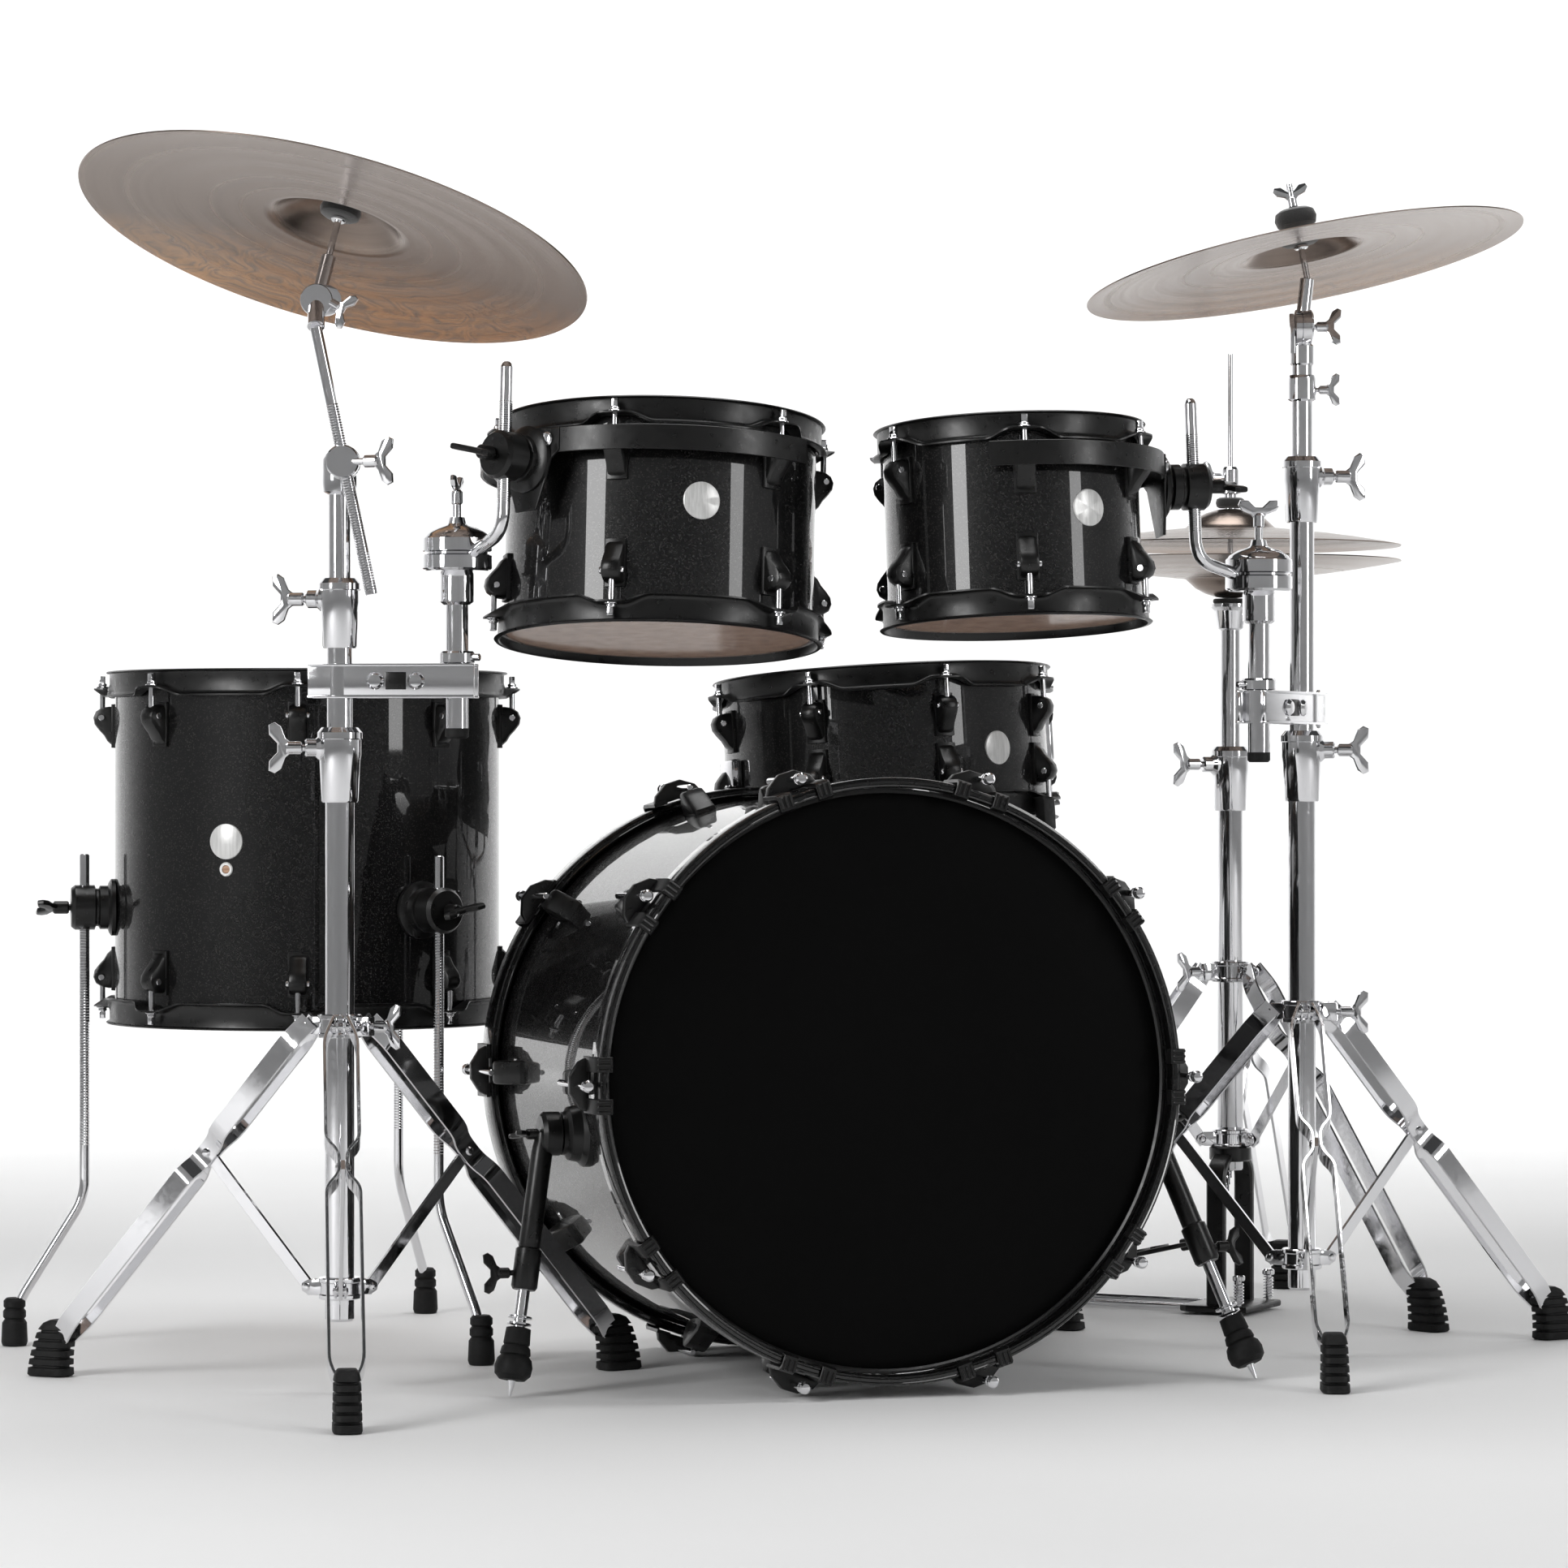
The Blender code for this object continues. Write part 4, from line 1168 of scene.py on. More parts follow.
def bass_drum():
    home = bass_frame()
    lie = Matrix.Rotation(math.radians(-90), 4, "X")
    half = BASS_LENGTH / 2 - 0.026
    shell("bass", "kit_frame", BASS_RADIUS, half, home, Matrix.Translation((0, BASS_LENGTH / 2, 0)) @ lie)
    inner, outer = BASS_HOOP - 0.0095, BASS_HOOP
    profile = [
        (inner, 0.002),
        (inner + 0.0008, 0.0005),
        (inner + 0.0024, 0.0),
        (inner + 0.0034, 0.0010),
        (outer - 0.0034, 0.0010),
        (outer - 0.0024, 0.0),
        (outer - 0.0008, 0.0005),
        (outer, 0.0022),
    ]
    back = [(r, HOOP_WIDTH - y) for r, y in reversed(profile)]
    black, bright = [], []
    for side, edge, inwards in (("front", 0.0, 1), ("rear", BASS_LENGTH, -1)):
        at = home @ Matrix.Translation((0, edge if inwards > 0 else edge - HOOP_WIDTH, 0)) @ lie
        wood = ring([*profile, *back], 192, at)
        piece(f"bass_{side}_wood_hoop", "kit_frame", "gloss", [wood], [f"bass_{side}_hoop"])
        face = edge + inwards * 0.0235
        flesh = ring(
            [
                (BASS_RADIUS - 0.0015, -0.002),
                (BASS_RADIUS + 0.0005, -0.0040),
                (BASS_RADIUS + 0.0030, -0.0040),
                (BASS_RADIUS + 0.0034, 0.004),
                (BASS_RADIUS - 0.0015, 0.002),
            ],
            192,
        )
        spin = home @ Matrix.Translation((0, face, 0)) @ lie @ Matrix.Diagonal((1, 1, inwards, 1))
        flesh = moved(flesh, spin)
        bmesh.ops.recalc_face_normals(flesh, faces=flesh.faces)
        piece(f"bass_{side}_flesh_hoop", "kit_frame", "satin", [flesh])
        skin = film(BASS_RADIUS - 0.001, 0.0, -1, spin)
        piece(f"bass_{side}_film", "kit_frame", "black_film", [skin], [f"bass_{side}_head"])
        for i in range(CLAWS):
            made = claw(home @ Matrix.Rotation(math.radians(18 + 36 * i), 4, "Y"), edge, inwards)
            black += made[0]
            bright += made[1]
    piece("bass_claws", "kit_frame", "satin", black)
    piece("bass_claw_rods", "kit_frame", "chrome", bright)
    for name, side in (("left", -1), ("right", 1)):
        spur(name, side, home)


def spur(name, side, home):
    """A swinging spur: a shell flange, a black leg, a clamp and a bright inner rod with a rubber foot."""
    body = f"bass_spur_{name}"
    hinge = pivot(f"{body}_swing")
    out = (home.to_3x3() @ Vector((side, 0, 0))).normalized()
    flange = [(0.033, -0.012), (0.033, -0.005), (0.028, 0.0), (0.026, 0.010), (0.021, 0.013), (0.021, 0.017)]
    mount = spun([(r, d) for r, d in flange], hinge - out * 0.033, out)
    piece(f"{body}_flange", "kit_frame", "satin", [mount])
    foot = home @ Vector((*SPUR_FEET[name], 0))
    foot.z = 0.0
    line = (foot - hinge).normalized()
    length = (foot - hinge).length
    at = lambda distance: hinge + line * distance
    black = [
        spun(
            [(0.018, 0), (0.0215, 0.0015), (0.0215, 0.016), (0.018, 0.020), (0.0, 0.0205)],
            hinge - out * 0.0155,
            out,
        ),
        spun([(0.0085, 0.0), (0.0105, 0.018), (0.0105, 0.118), (0.0095, 0.120)], at(0.0), line),
        spun([(0.0105, 0), (0.0128, 0.002), (0.0128, 0.038), (0.0110, 0.041)], at(0.112), line),
        *wing(at(0.136) + out * 0.011, out, line, 0.85, 0.008),
        *wing(hinge + out * 0.004, out, line.cross(out), 0.85, 0.004),
    ]
    piece(f"{body}_arm", body, "satin", black, [body])
    bright = [
        rod(at(0.145), at(length - 0.060), 0.0062),
        spun([(0.0062, 0), (0.0115, 0.0012), (0.0115, 0.0030), (0.0062, 0.0042)], at(length - 0.080), line),
        spun([(0.0062, 0), (0.0115, 0.0012), (0.0115, 0.0030), (0.0062, 0.0042)], at(length - 0.0735), line),
        rod(at(length - 0.020), foot - line * 0.0005, 0.0045, SMALL, end_radius=0.0012),
    ]
    piece(f"{body}_inner_rod", body, "chrome", bright)
    bulb = [
        (0.0085, 0),
        (0.0120, 0.001),
        (0.0130, 0.016),
        (0.0118, 0.0175),
        (0.0140, 0.020),
        (0.0150, 0.026),
        (0.0136, 0.0275),
        (0.0168, 0.031),
        (0.0185, 0.038),
        (0.0175, 0.046),
        (0.0125, 0.051),
        (0.0, 0.052),
    ]
    piece(f"{body}_foot", body, "rubber", [spun(bulb, at(length - 0.068), line)])


# ---------------------------------------------------------------- stands

BASE, MID, TOP = 0.0143, 0.0127, 0.0111


def upright(profile, x, y, sides=MEDIUM):
    """A turned solid standing on the vertical line through x, y, from (radius, height) points."""
    return spun([(r, z - profile[0][1]) for r, z in profile], (x, y, profile[0][1]), UP, sides)


def sleeve(profile, x, y):
    """A ring about a stand's tube."""
    return ring(profile, MEDIUM, shift(x, y, 0))


def leg(name, body, hinge, outward, brace_pivot, foot_reach, root):
    """One tripod leg of two pinched strips, with rivets and a ribbed rubber foot."""
    outward = Vector(outward)
    side = UP.cross(outward)
    reach = foot_reach - root
    foot = hinge + outward * reach
    foot.z = 0.0
    end = foot + UP * 0.022
    line = (end - hinge).normalized()
    length = (end - hinge).length
    knee = (hinge.z - brace_pivot[1]) / 2 / -line.z
    stations = (
        (-0.006, 0.0067),
        (0.020, 0.0160),
        (knee - 0.028, 0.0160),
        (knee - 0.013, 0.00375),
        (knee + 0.013, 0.00375),
        (knee + 0.028, 0.0160),
        (length - 0.045, 0.0160),
        (length - 0.012, 0.0030),
    )
    shapes = []
    normal = line.cross(side)
    for sign in (-1, 1):
        path = rounded_path([hinge + line * d + side * sign * s for d, s in stations], 0.009, 4)
        shapes.append(sweep(path, rectangle(0.0200, 0.0030), normal))
    for distance, wide in ((0.0, 0.0096), (knee, 0.0072)):
        at = hinge + line * distance
        for sign in (-1, 1):
            shapes.append(
                spun(
                    [(0.0045, 0), (0.0045, 0.0008), (0.0030, 0.0022), (0.0, 0.0026)],
                    at + side * sign * (wide - 0.0022),
                    side * sign,
                    SMALL,
                )
            )
        shapes.append(rod(at - side * wide, at + side * wide, 0.0030, SMALL))
    strap = hinge + line * (length - 0.030)
    shapes.append(rod(strap - side * 0.0095, strap + side * 0.0095, 0.0026, SMALL))
    piece(f"{name}_strips", body, "chrome", shapes, [body] if body in frame["nodes"] else [])
    piece(f"{name}_foot", body, "rubber", [ribbed_foot(foot, outward, side)])
    return knee, line


def ribbed_foot(foot, outward, side):
    """A rubber shoe, longer along the leg than across it, with deep ribs and a top that leans in."""
    shape = bmesh.new()
    corner, ribs, tall = 6, 5, 0.056
    levels = [(0.0, 0.90), (0.0015, 1.0)]
    for i in range(ribs):
        z = 0.008 + 0.0088 * i
        levels += [(z, 1.0), (z + 0.0008, 0.80), (z + 0.0026, 0.80), (z + 0.0034, 1.0)]
    levels += [(tall - 0.003, 0.86), (tall, 0.55)]
    rows = []
    for z, share in levels:
        rise = z / tall
        long, wide = (0.0230 - 0.0050 * rise) * share, (0.0140 - 0.0015 * rise) * (0.35 + 0.65 * share)
        centre = foot + UP * z - outward * 0.012 * rise * rise
        row = []
        for i in range(4 * corner):
            a = math.pi / 2 * (i + 0.5) / corner
            u, v = math.cos(a), math.sin(a)
            flat = (abs(u) ** 0.5 * math.copysign(1, u) * long, abs(v) ** 0.5 * math.copysign(1, v) * wide)
            row.append(shape.verts.new(centre + outward * flat[0] + side * flat[1]))
        rows.append(row)
    for row, following in zip(rows, rows[1:]):
        for i in range(len(row)):
            j = (i + 1) % len(row)
            shape.faces.new((row[i], row[j], following[j], following[i]))
    shape.faces.new(rows[0])
    shape.faces.new(rows[-1])
    bmesh.ops.recalc_face_normals(shape, faces=shape.faces)
    return shape


def brace(pivot_at, line_down, knee, outward):
    side = UP.cross(outward)
    rise = (outward * line_down.dot(outward) - UP * line_down.z).normalized()
    path = [pivot_at - rise * 0.006, pivot_at + rise * (knee + 0.004)]
    strip = sweep(path, rectangle(0.0120, 0.0040), rise.cross(side))
    rivets = []
    for sign in (-1, 1):
        rivets.append(
            spun(
                [(0.0040, 0), (0.0040, 0.0006), (0.0026, 0.0018), (0.0, 0.0021)],
                pivot_at + side * sign * 0.0056,
                side * sign,
                SMALL,
            )
        )
    return [strip, *rivets, rod(pivot_at - side * 0.006, pivot_at + side * 0.006, 0.0024, SMALL)]


def ears(x, y, z, outward, root, gap, height):
    """A pair of ears on a collar that hold a leg's or brace's pivot."""
    shapes = []
    side = UP.cross(outward)
    turn = Matrix((outward, side, UP)).transposed().to_4x4()
    outline = [
        (0.016, -height / 2),
        (root - 0.002, -height / 2),
        (root + 0.005, -height / 4),
        (root + 0.0058, 0.0),
        (root + 0.005, height / 4),
        (root - 0.002, height / 2),
        (0.016, height / 2),
    ]
    stand = Matrix.Translation((x, y, z)) @ turn @ Matrix.Rotation(math.radians(90), 4, "X")
    for sign in (-1, 1):
        shapes.append(moved(slab(outline, 0.0022, shift(0, 0, sign * gap), 0.0006), stand))
    return shapes


def collar_band(x, y, z, tube, outer, half=0.012, direction=None):
    """A split band round a tube, with a lip at each end, and its wing screw if it has one."""
    profile = [
        (tube, -half),
        (outer - 0.001, -half),
        (outer, -half + 0.001),
        (outer, -half + 0.004),
        (outer - 0.0016, -half + 0.0052),
        (outer - 0.0016, half - 0.0052),
        (outer, half - 0.004),
        (outer, half - 0.001),
        (outer - 0.001, half),
        (tube, half),
    ]
    shapes = [ring(profile, MEDIUM, shift(x, y, z))]
    if direction is not None:
        direction = Vector(direction).normalized()
        at = Vector((x, y, z))
        shapes.append(
            block(
                (outer + 0.006, 0, 0),
                (0.018, 0.012, 2 * half - 0.004),
                Matrix.Translation(at) @ Matrix.Rotation(math.atan2(direction.y, direction.x), 4, "Z"),
                0.0015,
            )
        )
        shapes += wing(at + direction * (outer + 0.013), direction, UP, 0.95, 0.008)
    return shapes


def height_collar(x, y, low, high, tube, direction):
    """A cast sleeve that narrows downwards, a rounded cap on it, and a boss with a wing screw."""
    outer = tube + 0.0068
    tall = high - low
    shapes = [
        sleeve(
            [
                (tube, low),
                (tube + 0.0030, low),
                (tube + 0.0040, low + 0.002),
                (outer - 0.001, high - 0.45 * tall),
                (outer, high - 0.36 * tall),
                (outer, high - 0.012),
                (outer + 0.0012, high - 0.011),
                (outer + 0.0012, high - 0.005),
                (outer - 0.003, high),
                (tube - 0.0016, high),
            ],
            x,
            y,
        ),
    ]
    direction = Vector(direction).normalized()
    at = Vector((x, y, high - 0.020))
    shapes.append(
        spun(
            [(0.0125, 0), (0.0125, 0.005), (0.0088, 0.009), (0.0088, 0.018), (0.0070, 0.0195)],
            at + direction * (outer - 0.006),
            direction,
            MEDIUM,
        )
    )
    lever = wing(at + direction * (outer + 0.012), direction, UP, 1.06, 0.006)
    return shapes + lever


def tripod(
    name,
    collar_body,
    leg_body,
    brace_body,
    x,
    y,
    leg_z,
    brace_z,
    root,
    foot_reach,
    outwards,
    tube,
    wing_out,
):
    """A double-braced tripod: collars with ears, three legs and three braces."""
    top, bottom = [], []
    top += collar_band(x, y, leg_z, tube, 0.0215, 0.0115, wing_out)
    bottom += collar_band(x, y, brace_z, tube, 0.0205, 0.0105)
    for part, outward in outwards.items():
        outward = Vector(outward)
        hinge = Vector((x, y, leg_z)) + outward * root
        knee, line = leg(
            f"{name}_leg_{part}", leg_body(part), hinge, outward, (root, brace_z), foot_reach, root
        )
        top += ears(x, y, leg_z, outward, root, 0.0036, 0.017)
        bottom += ears(x, y, brace_z, outward, root, 0.0046, 0.015)
        node = brace_body(part)
        made = brace(Vector((x, y, brace_z)) + outward * root, line, knee, outward)
        piece(f"{name}_brace_{part}_strip", node, "chrome", made, [node] if node in frame["nodes"] else [])
    piece(
        f"{name}_leg_collar_band",
        collar_body,
        "chrome",
        top,
        [collar_body] if collar_body in frame["nodes"] else [],
    )
    return bottom


def legs_of(side):
    """The plan position of a folding stand and the directions of its three legs."""
    hinges = {part: pivot(f"{side}_leg_{part}_fold") for part in ("front", "right", "left")}
    centre = sum(hinges.values(), Vector()) / 3
    out = {part: (hinge - centre) * Vector((1, 1, 0)) for part, hinge in hinges.items()}
    return centre, {part: direction.normalized() for part, direction in out.items()}


STANDS = {
    "left": dict(top=0.915, second=0.790, clamp=0.690, wing=(-1, -0.25, 0), post=(-1, 0.2, 0)),
    "right": dict(top=1.045, second=0.928, clamp=0.668, wing=(1, -0.25, 0), post=(1, 0.2, 0)),
}


def cymbal_stand(side):
    facts = STANDS[side]
    centre, outwards = legs_of(side)
    x, y = centre.x, centre.y
    base = f"{side}_base_tube"
    bottom = tripod(
        side,
        f"{side}_leg_collar",
        lambda part: f"{side}_leg_{part}",
        lambda part: f"{side}_brace_{part}",
        x, y, 0.355, 0.100, 0.034, 0.328, outwards, BASE, facts["wing"] if side == "right" else (
            0.9, -0.45, 0
        ),
    )
    bottom += height_collar(x, y, 0.572, 0.645, BASE, facts["wing"])
    bottom.append(upright([(BASE - 0.002, 0.068), (BASE, 0.0705), (BASE, 0.60)], x, y, 48))
    piece(f"{side}_base_post", "kit_frame", "chrome", bottom, [base])
    body = f"{side}_upper_tube"
    high = height_collar(x, y, facts["second"] - 0.068, facts["second"], MID, facts["post"])
    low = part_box(body)[0][2]
    high.append(upright([(MID - 0.001, low), (MID, low + 0.001), (MID, facts["second"] - 0.03)], x, y, 48))
    high.append(
        upright(
            [(TOP, facts["second"] - 0.03), (TOP, facts["top"] - 0.001), (TOP - 0.001, facts["top"])],
            x,
            y,
            48,
        )
    )
    if side == "right":
        high.append(
            sleeve([(TOP, 0.985), (0.0150, 0.987), (0.0150, 1.008), (0.0135, 1.012), (TOP, 1.012)], x, y)
        )
        high += wing(Vector((x, y, 0.997)) + RIGHT * 0.013, (1, -0.2, 0), UP, 0.72, 0.008)
        high.append(spun([(TOP, 0), (0.0128, 0.002), (0.0128, 0.020), (0.0070, 0.026)], (x, y, 1.022), UP))
        ear = [
            (-0.013, -0.028),
            (0.013, -0.028),
            (0.0135, 0.0),
            (0.009, 0.0105),
            (0.0, 0.0140),
            (-0.009, 0.0105),
            (-0.0135, 0.0),
        ]
        stand = Matrix.Translation((x - 0.0105, y, 1.062)) @ Matrix(
            ((0, 0, 1, 0), (1, 0, 0, 0), (0, 1, 0, 0), (0, 0, 0, 1))
        )
        high.append(slab(ear, 0.0050, stand, 0.001))
    else:
        hinge = pivot("left_boom_tilt")
        stand = Vector((x, y, hinge.z))
        high.append(
            spun(
                [
                    (TOP, 0),
                    (0.0165, 0.003),
                    (0.0175, 0.010),
                    (0.0175, 0.034),
                    (0.0140, 0.040),
                    (0.0, 0.041),
                ],
                (x, y, hinge.z - 0.030),
                UP,
            )
        )
        high.append(
            rod(
                Vector((hinge.x, y - 0.002, hinge.z)), Vector((hinge.x, hinge.y + 0.013, hinge.z)), 0.0150
            )
        )
    black, bright = multi_clamp(side, centre, facts["clamp"])
    piece(f"{side}_upper_post", body, "chrome", high + bright, [body])
    piece(f"{side}_clamp_insets", body, "satin", black)


def multi_clamp(side, centre, height):
    """Two channelled jaws bolted together across the stand and the tom holder's post."""
    ball = pivot(f"{side}_tom_tilt")
    gap = (ball - centre) * Vector((1, 1, 0))
    reach = gap.length
    turn = Matrix.Translation((centre.x, centre.y, height)) @ Matrix.Rotation(
        math.atan2(gap.y, gap.x), 4, "Z"
    )
    bright, black = [], []
    long = reach + 0.048
    mid = (reach - 0.010) / 2
    for face in (-1, 1):
        jaw = block((mid, face * 0.0135, 0), (long, 0.0040, 0.030), None, 0.001)
        lips = [
            block((mid, face * 0.0145, sign * 0.0155), (long, 0.0075, 0.0024), None, 0.0006)
            for sign in (-1, 1)
        ]
        bright += [jaw, *lips]
        for at in (-0.020, 0.020):
            bright.append(block((reach / 2 + at, face * 0.0162, 0), (0.0130, 0.0030, 0.0130), None, 0.0012))
            bright.append(
                spun(
                    [(0.0086, 0), (0.0086, 0.0012), (0.0060, 0.0042), (0.0, 0.0052)],
                    (reach / 2 + at, face * 0.0165, 0),
                    (0, face, 0),
                    MEDIUM,
                )
            )
        black.append(block((reach / 2, face * 0.0158, 0), (0.020, 0.0010, 0.017), None, 0.0003))
    for at, tube in ((0.0, MID), (reach, 0.0111)):
        bright.append(
            ring(
                [
                    (tube + 0.0002, -0.0165),
                    (tube + 0.0042, -0.0165),
                    (tube + 0.0042, 0.0165),
                    (tube + 0.0002, 0.0165),
                ],
                MEDIUM,
                shift(at, 0, 0),
            )
        )
    for at in (reach / 2 - 0.020, reach / 2 + 0.020):
        bright.append(rod((at, -0.017, 0), (at, 0.017, 0), 0.0040, SMALL))
    if side == "right":
        bright += wing(Vector((-0.024, 0, 0)), (-1, 0, 0), UP, 0.85, 0.006)
    for shape in (*bright, *black):
        moved(shape, turn)
    return black, bright


# ---------------------------------------------------------------- cymbals

CYMBALS = {
    "left": dict(radius=10 * INCH, bell=0.066, height=0.026, bow=0.015, back=14.1, right=13.1),
    "right": dict(radius=9 * INCH, bell=0.060, height=0.024, bow=0.014, back=5.2, right=-10.3),
}
WALL = 0.0013
HAT_GAP = 0.018
POST_SLEEVE_DROP = {"left": 0.058, "right": 0.053}
LEFT_JOINT_DROP = 0.105


def cymbal(radius, bell, height, bow, matrix):
    """A cymbal with its bell, its bow and a lathed surface, the bell's top at the origin."""
    rows = [
        (0.0065, 0.0),
        (bell * 0.30, -height * 0.05),
        (bell * 0.55, -height * 0.22),
        (bell * 0.78, -height * 0.50),
        (bell * 0.93, -height * 0.82),
    ]
    rows += [(bell, -height * 0.965), (bell * 1.06, -height * 1.01)]
    steps = 44
    for i in range(1, steps + 1):
        t = i / steps
        r = bell * 1.06 + (radius - bell * 1.06) * t
        ripple = 0.00010 * math.sin(t * steps * math.pi) + 0.00008 * math.sin(t * 31.0)
        rows.append((r, -height * 1.01 - bow * (0.62 * t + 0.38 * t * t) * 0.99 + ripple))
    under = [(r, z - WALL) for r, z in reversed(rows)]
    under[0] = (radius - 0.0006, under[0][1] + 0.0001)
    return ring([*rows, *under], 128, matrix)


def felt_stack(home, low, high, radius):
    """A felt washer with rounded edges."""
    half = (high - low) / 2
    profile = [
        (0.0050, low),
        (radius - half * 0.7, low),
        (radius - half * 0.2, low + half * 0.3),
        (radius, low + half),
        (radius - half * 0.2, high - half * 0.3),
        (radius - half * 0.7, high),
        (0.0050, high),
    ]
    return ring(profile, MEDIUM, home)


def cymbal_top(side, body, home):
    """What holds the cymbal on its post: sleeve, felts, cup washer, threaded end and wing nut."""
    up = (home.to_3x3() @ UP).normalized()
    at = lambda z: home @ Vector((0, 0, z))
    across = (home.to_3x3() @ RIGHT).normalized()
    bright = [
        rod(at(-POST_SLEEVE_DROP[side] - 0.004), at(0.048), 0.0034, SMALL),
        rod(at(-0.0215), at(-0.0170), 0.0075, MEDIUM, 0.0012),
        *[
            ring([(0.0033, z), (0.0038, z + 0.0005), (0.0033, z + 0.0010)], SMALL, home)
            for z in knurl(0.040, 0.047, 0.0014)
        ],
        *wing(at(0.0205), up, across, 0.78, 0.004),
    ]
    piece(f"{side}_cymbal_post", body, "chrome", bright)
    piece(
        f"{side}_cymbal_felts",
        body,
        "felt",
        [felt_stack(home, -0.0170, -0.0042, 0.0205), felt_stack(home, 0.0012, 0.0205, 0.0220)],
    )


def make_cymbal(side):
    facts = CYMBALS[side]
    home = place(pivot(f"{side}_cymbal_rock"), facts["back"], facts["right"])
    shape = cymbal(facts["radius"], facts["bell"], facts["height"], facts["bow"], home)
    up = home.to_3x3() @ UP
    # The last argument sets how much painted warm light falls on the cymbal's front.
    finish = bronze(f"bronze_{side}", home.translation, up, 0.75 if side == "left" else 0.25)
    piece(
        f"{side}_cymbal_plate",
        f"{side}_cymbal",
        "chrome",
        [shape],
        [f"{side}_cymbal"],
        40,
        finish,
    )
    return home


def boom():
    home = make_cymbal("left")
    hinge = pivot("left_boom_tilt")
    low, high = hinge + Vector((0.028, -0.006, -0.128)), hinge + Vector((-0.026, -0.006, 0.130))
    line = (high - low).normalized()
    seat = home @ Vector((0, 0, -LEFT_JOINT_DROP))
    turn = basis(low, line)
    shapes = [
        rod(low, high, 0.0058, 24),
        *[
            ring([(0.0057, z), (0.00635, z + 0.0007), (0.0057, z + 0.0014)], 24, turn)
            for z in knurl(0.004, 0.19, 0.0026)
        ],
        spun(
            [(0.0095, 0), (0.0165, 0.002), (0.0165, 0.011), (0.0150, 0.013)],
            hinge,
            (0, -1, 0),
        ),
        spun(
            [(0.0150, 0), (0.0168, 0.0015), (0.0168, 0.009), (0.0150, 0.011), (0.0, 0.0112)],
            hinge + Vector((0, 0.0120, 0)),
            (0, -1, 0),
        ),
        *wing(hinge + Vector((0.010, -0.010, 0)), (1, -0.35, 0), UP, 1.0, 0.014),
        rod(high, seat, 0.0085, 24),
        spun(
            [(0.0085, 0), (0.0150, 0.0015), (0.0150, 0.0075), (0.0085, 0.009)],
            seat + Vector((0.009, -0.0085, 0)),
            (0, 1, 0),
        ),
        spun(
            [(0.0150, 0), (0.0158, 0.001), (0.0158, 0.006), (0.0150, 0.007)],
            seat + Vector((0.0, -0.004, 0)),
            (0, -1, 0),
        ),
        rod(seat, home @ Vector((0, 0, -POST_SLEEVE_DROP["left"])), 0.0072, 24),
        *wing(seat + Vector((0.010, -0.006, 0.0)), (1, -0.2, -0.6), (0, 0, 1), 0.78, 0.006),
    ]
    piece("left_boom_bar", "left_boom_arm", "chrome", shapes, ["left_boom_arm"])
    cymbal_top("left", "left_boom_arm", home)


def tilter():
    home = make_cymbal("right")
    hinge = pivot("right_cymbal_tilt")
    shapes = [
        spun(
            [
                (0.0150, 0),
                (0.0178, 0.0010),
                (0.0178, 0.0070),
                (0.0165, 0.0076),
                (0.0178, 0.0084),
                (0.0178, 0.0170),
                (0.0150, 0.0190),
                (0.0, 0.0192),
            ],
            hinge + Vector((-0.0077, 0, 0)),
            RIGHT,
        ),
        rod(hinge + Vector((0, 0, 0)), home @ Vector((0, 0, -POST_SLEEVE_DROP["right"])), 0.0072, 24),
        rod(hinge + Vector((0.002, 0, 0)), hinge + Vector((0.002, 0, 0.018)), 0.0095, 24, end_radius=0.0072),
        *wing(hinge + Vector((0.008, 0, 0)), (1, -0.2, 0), (0, 0.3, 1), 0.85, 0.010),
    ]
    piece("right_tilter_head", "right_tilter", "chrome", shapes, ["right_tilter"])
    cymbal_top("right", "right_tilter", home)


# ---------------------------------------------------------------- snare and hi-hat


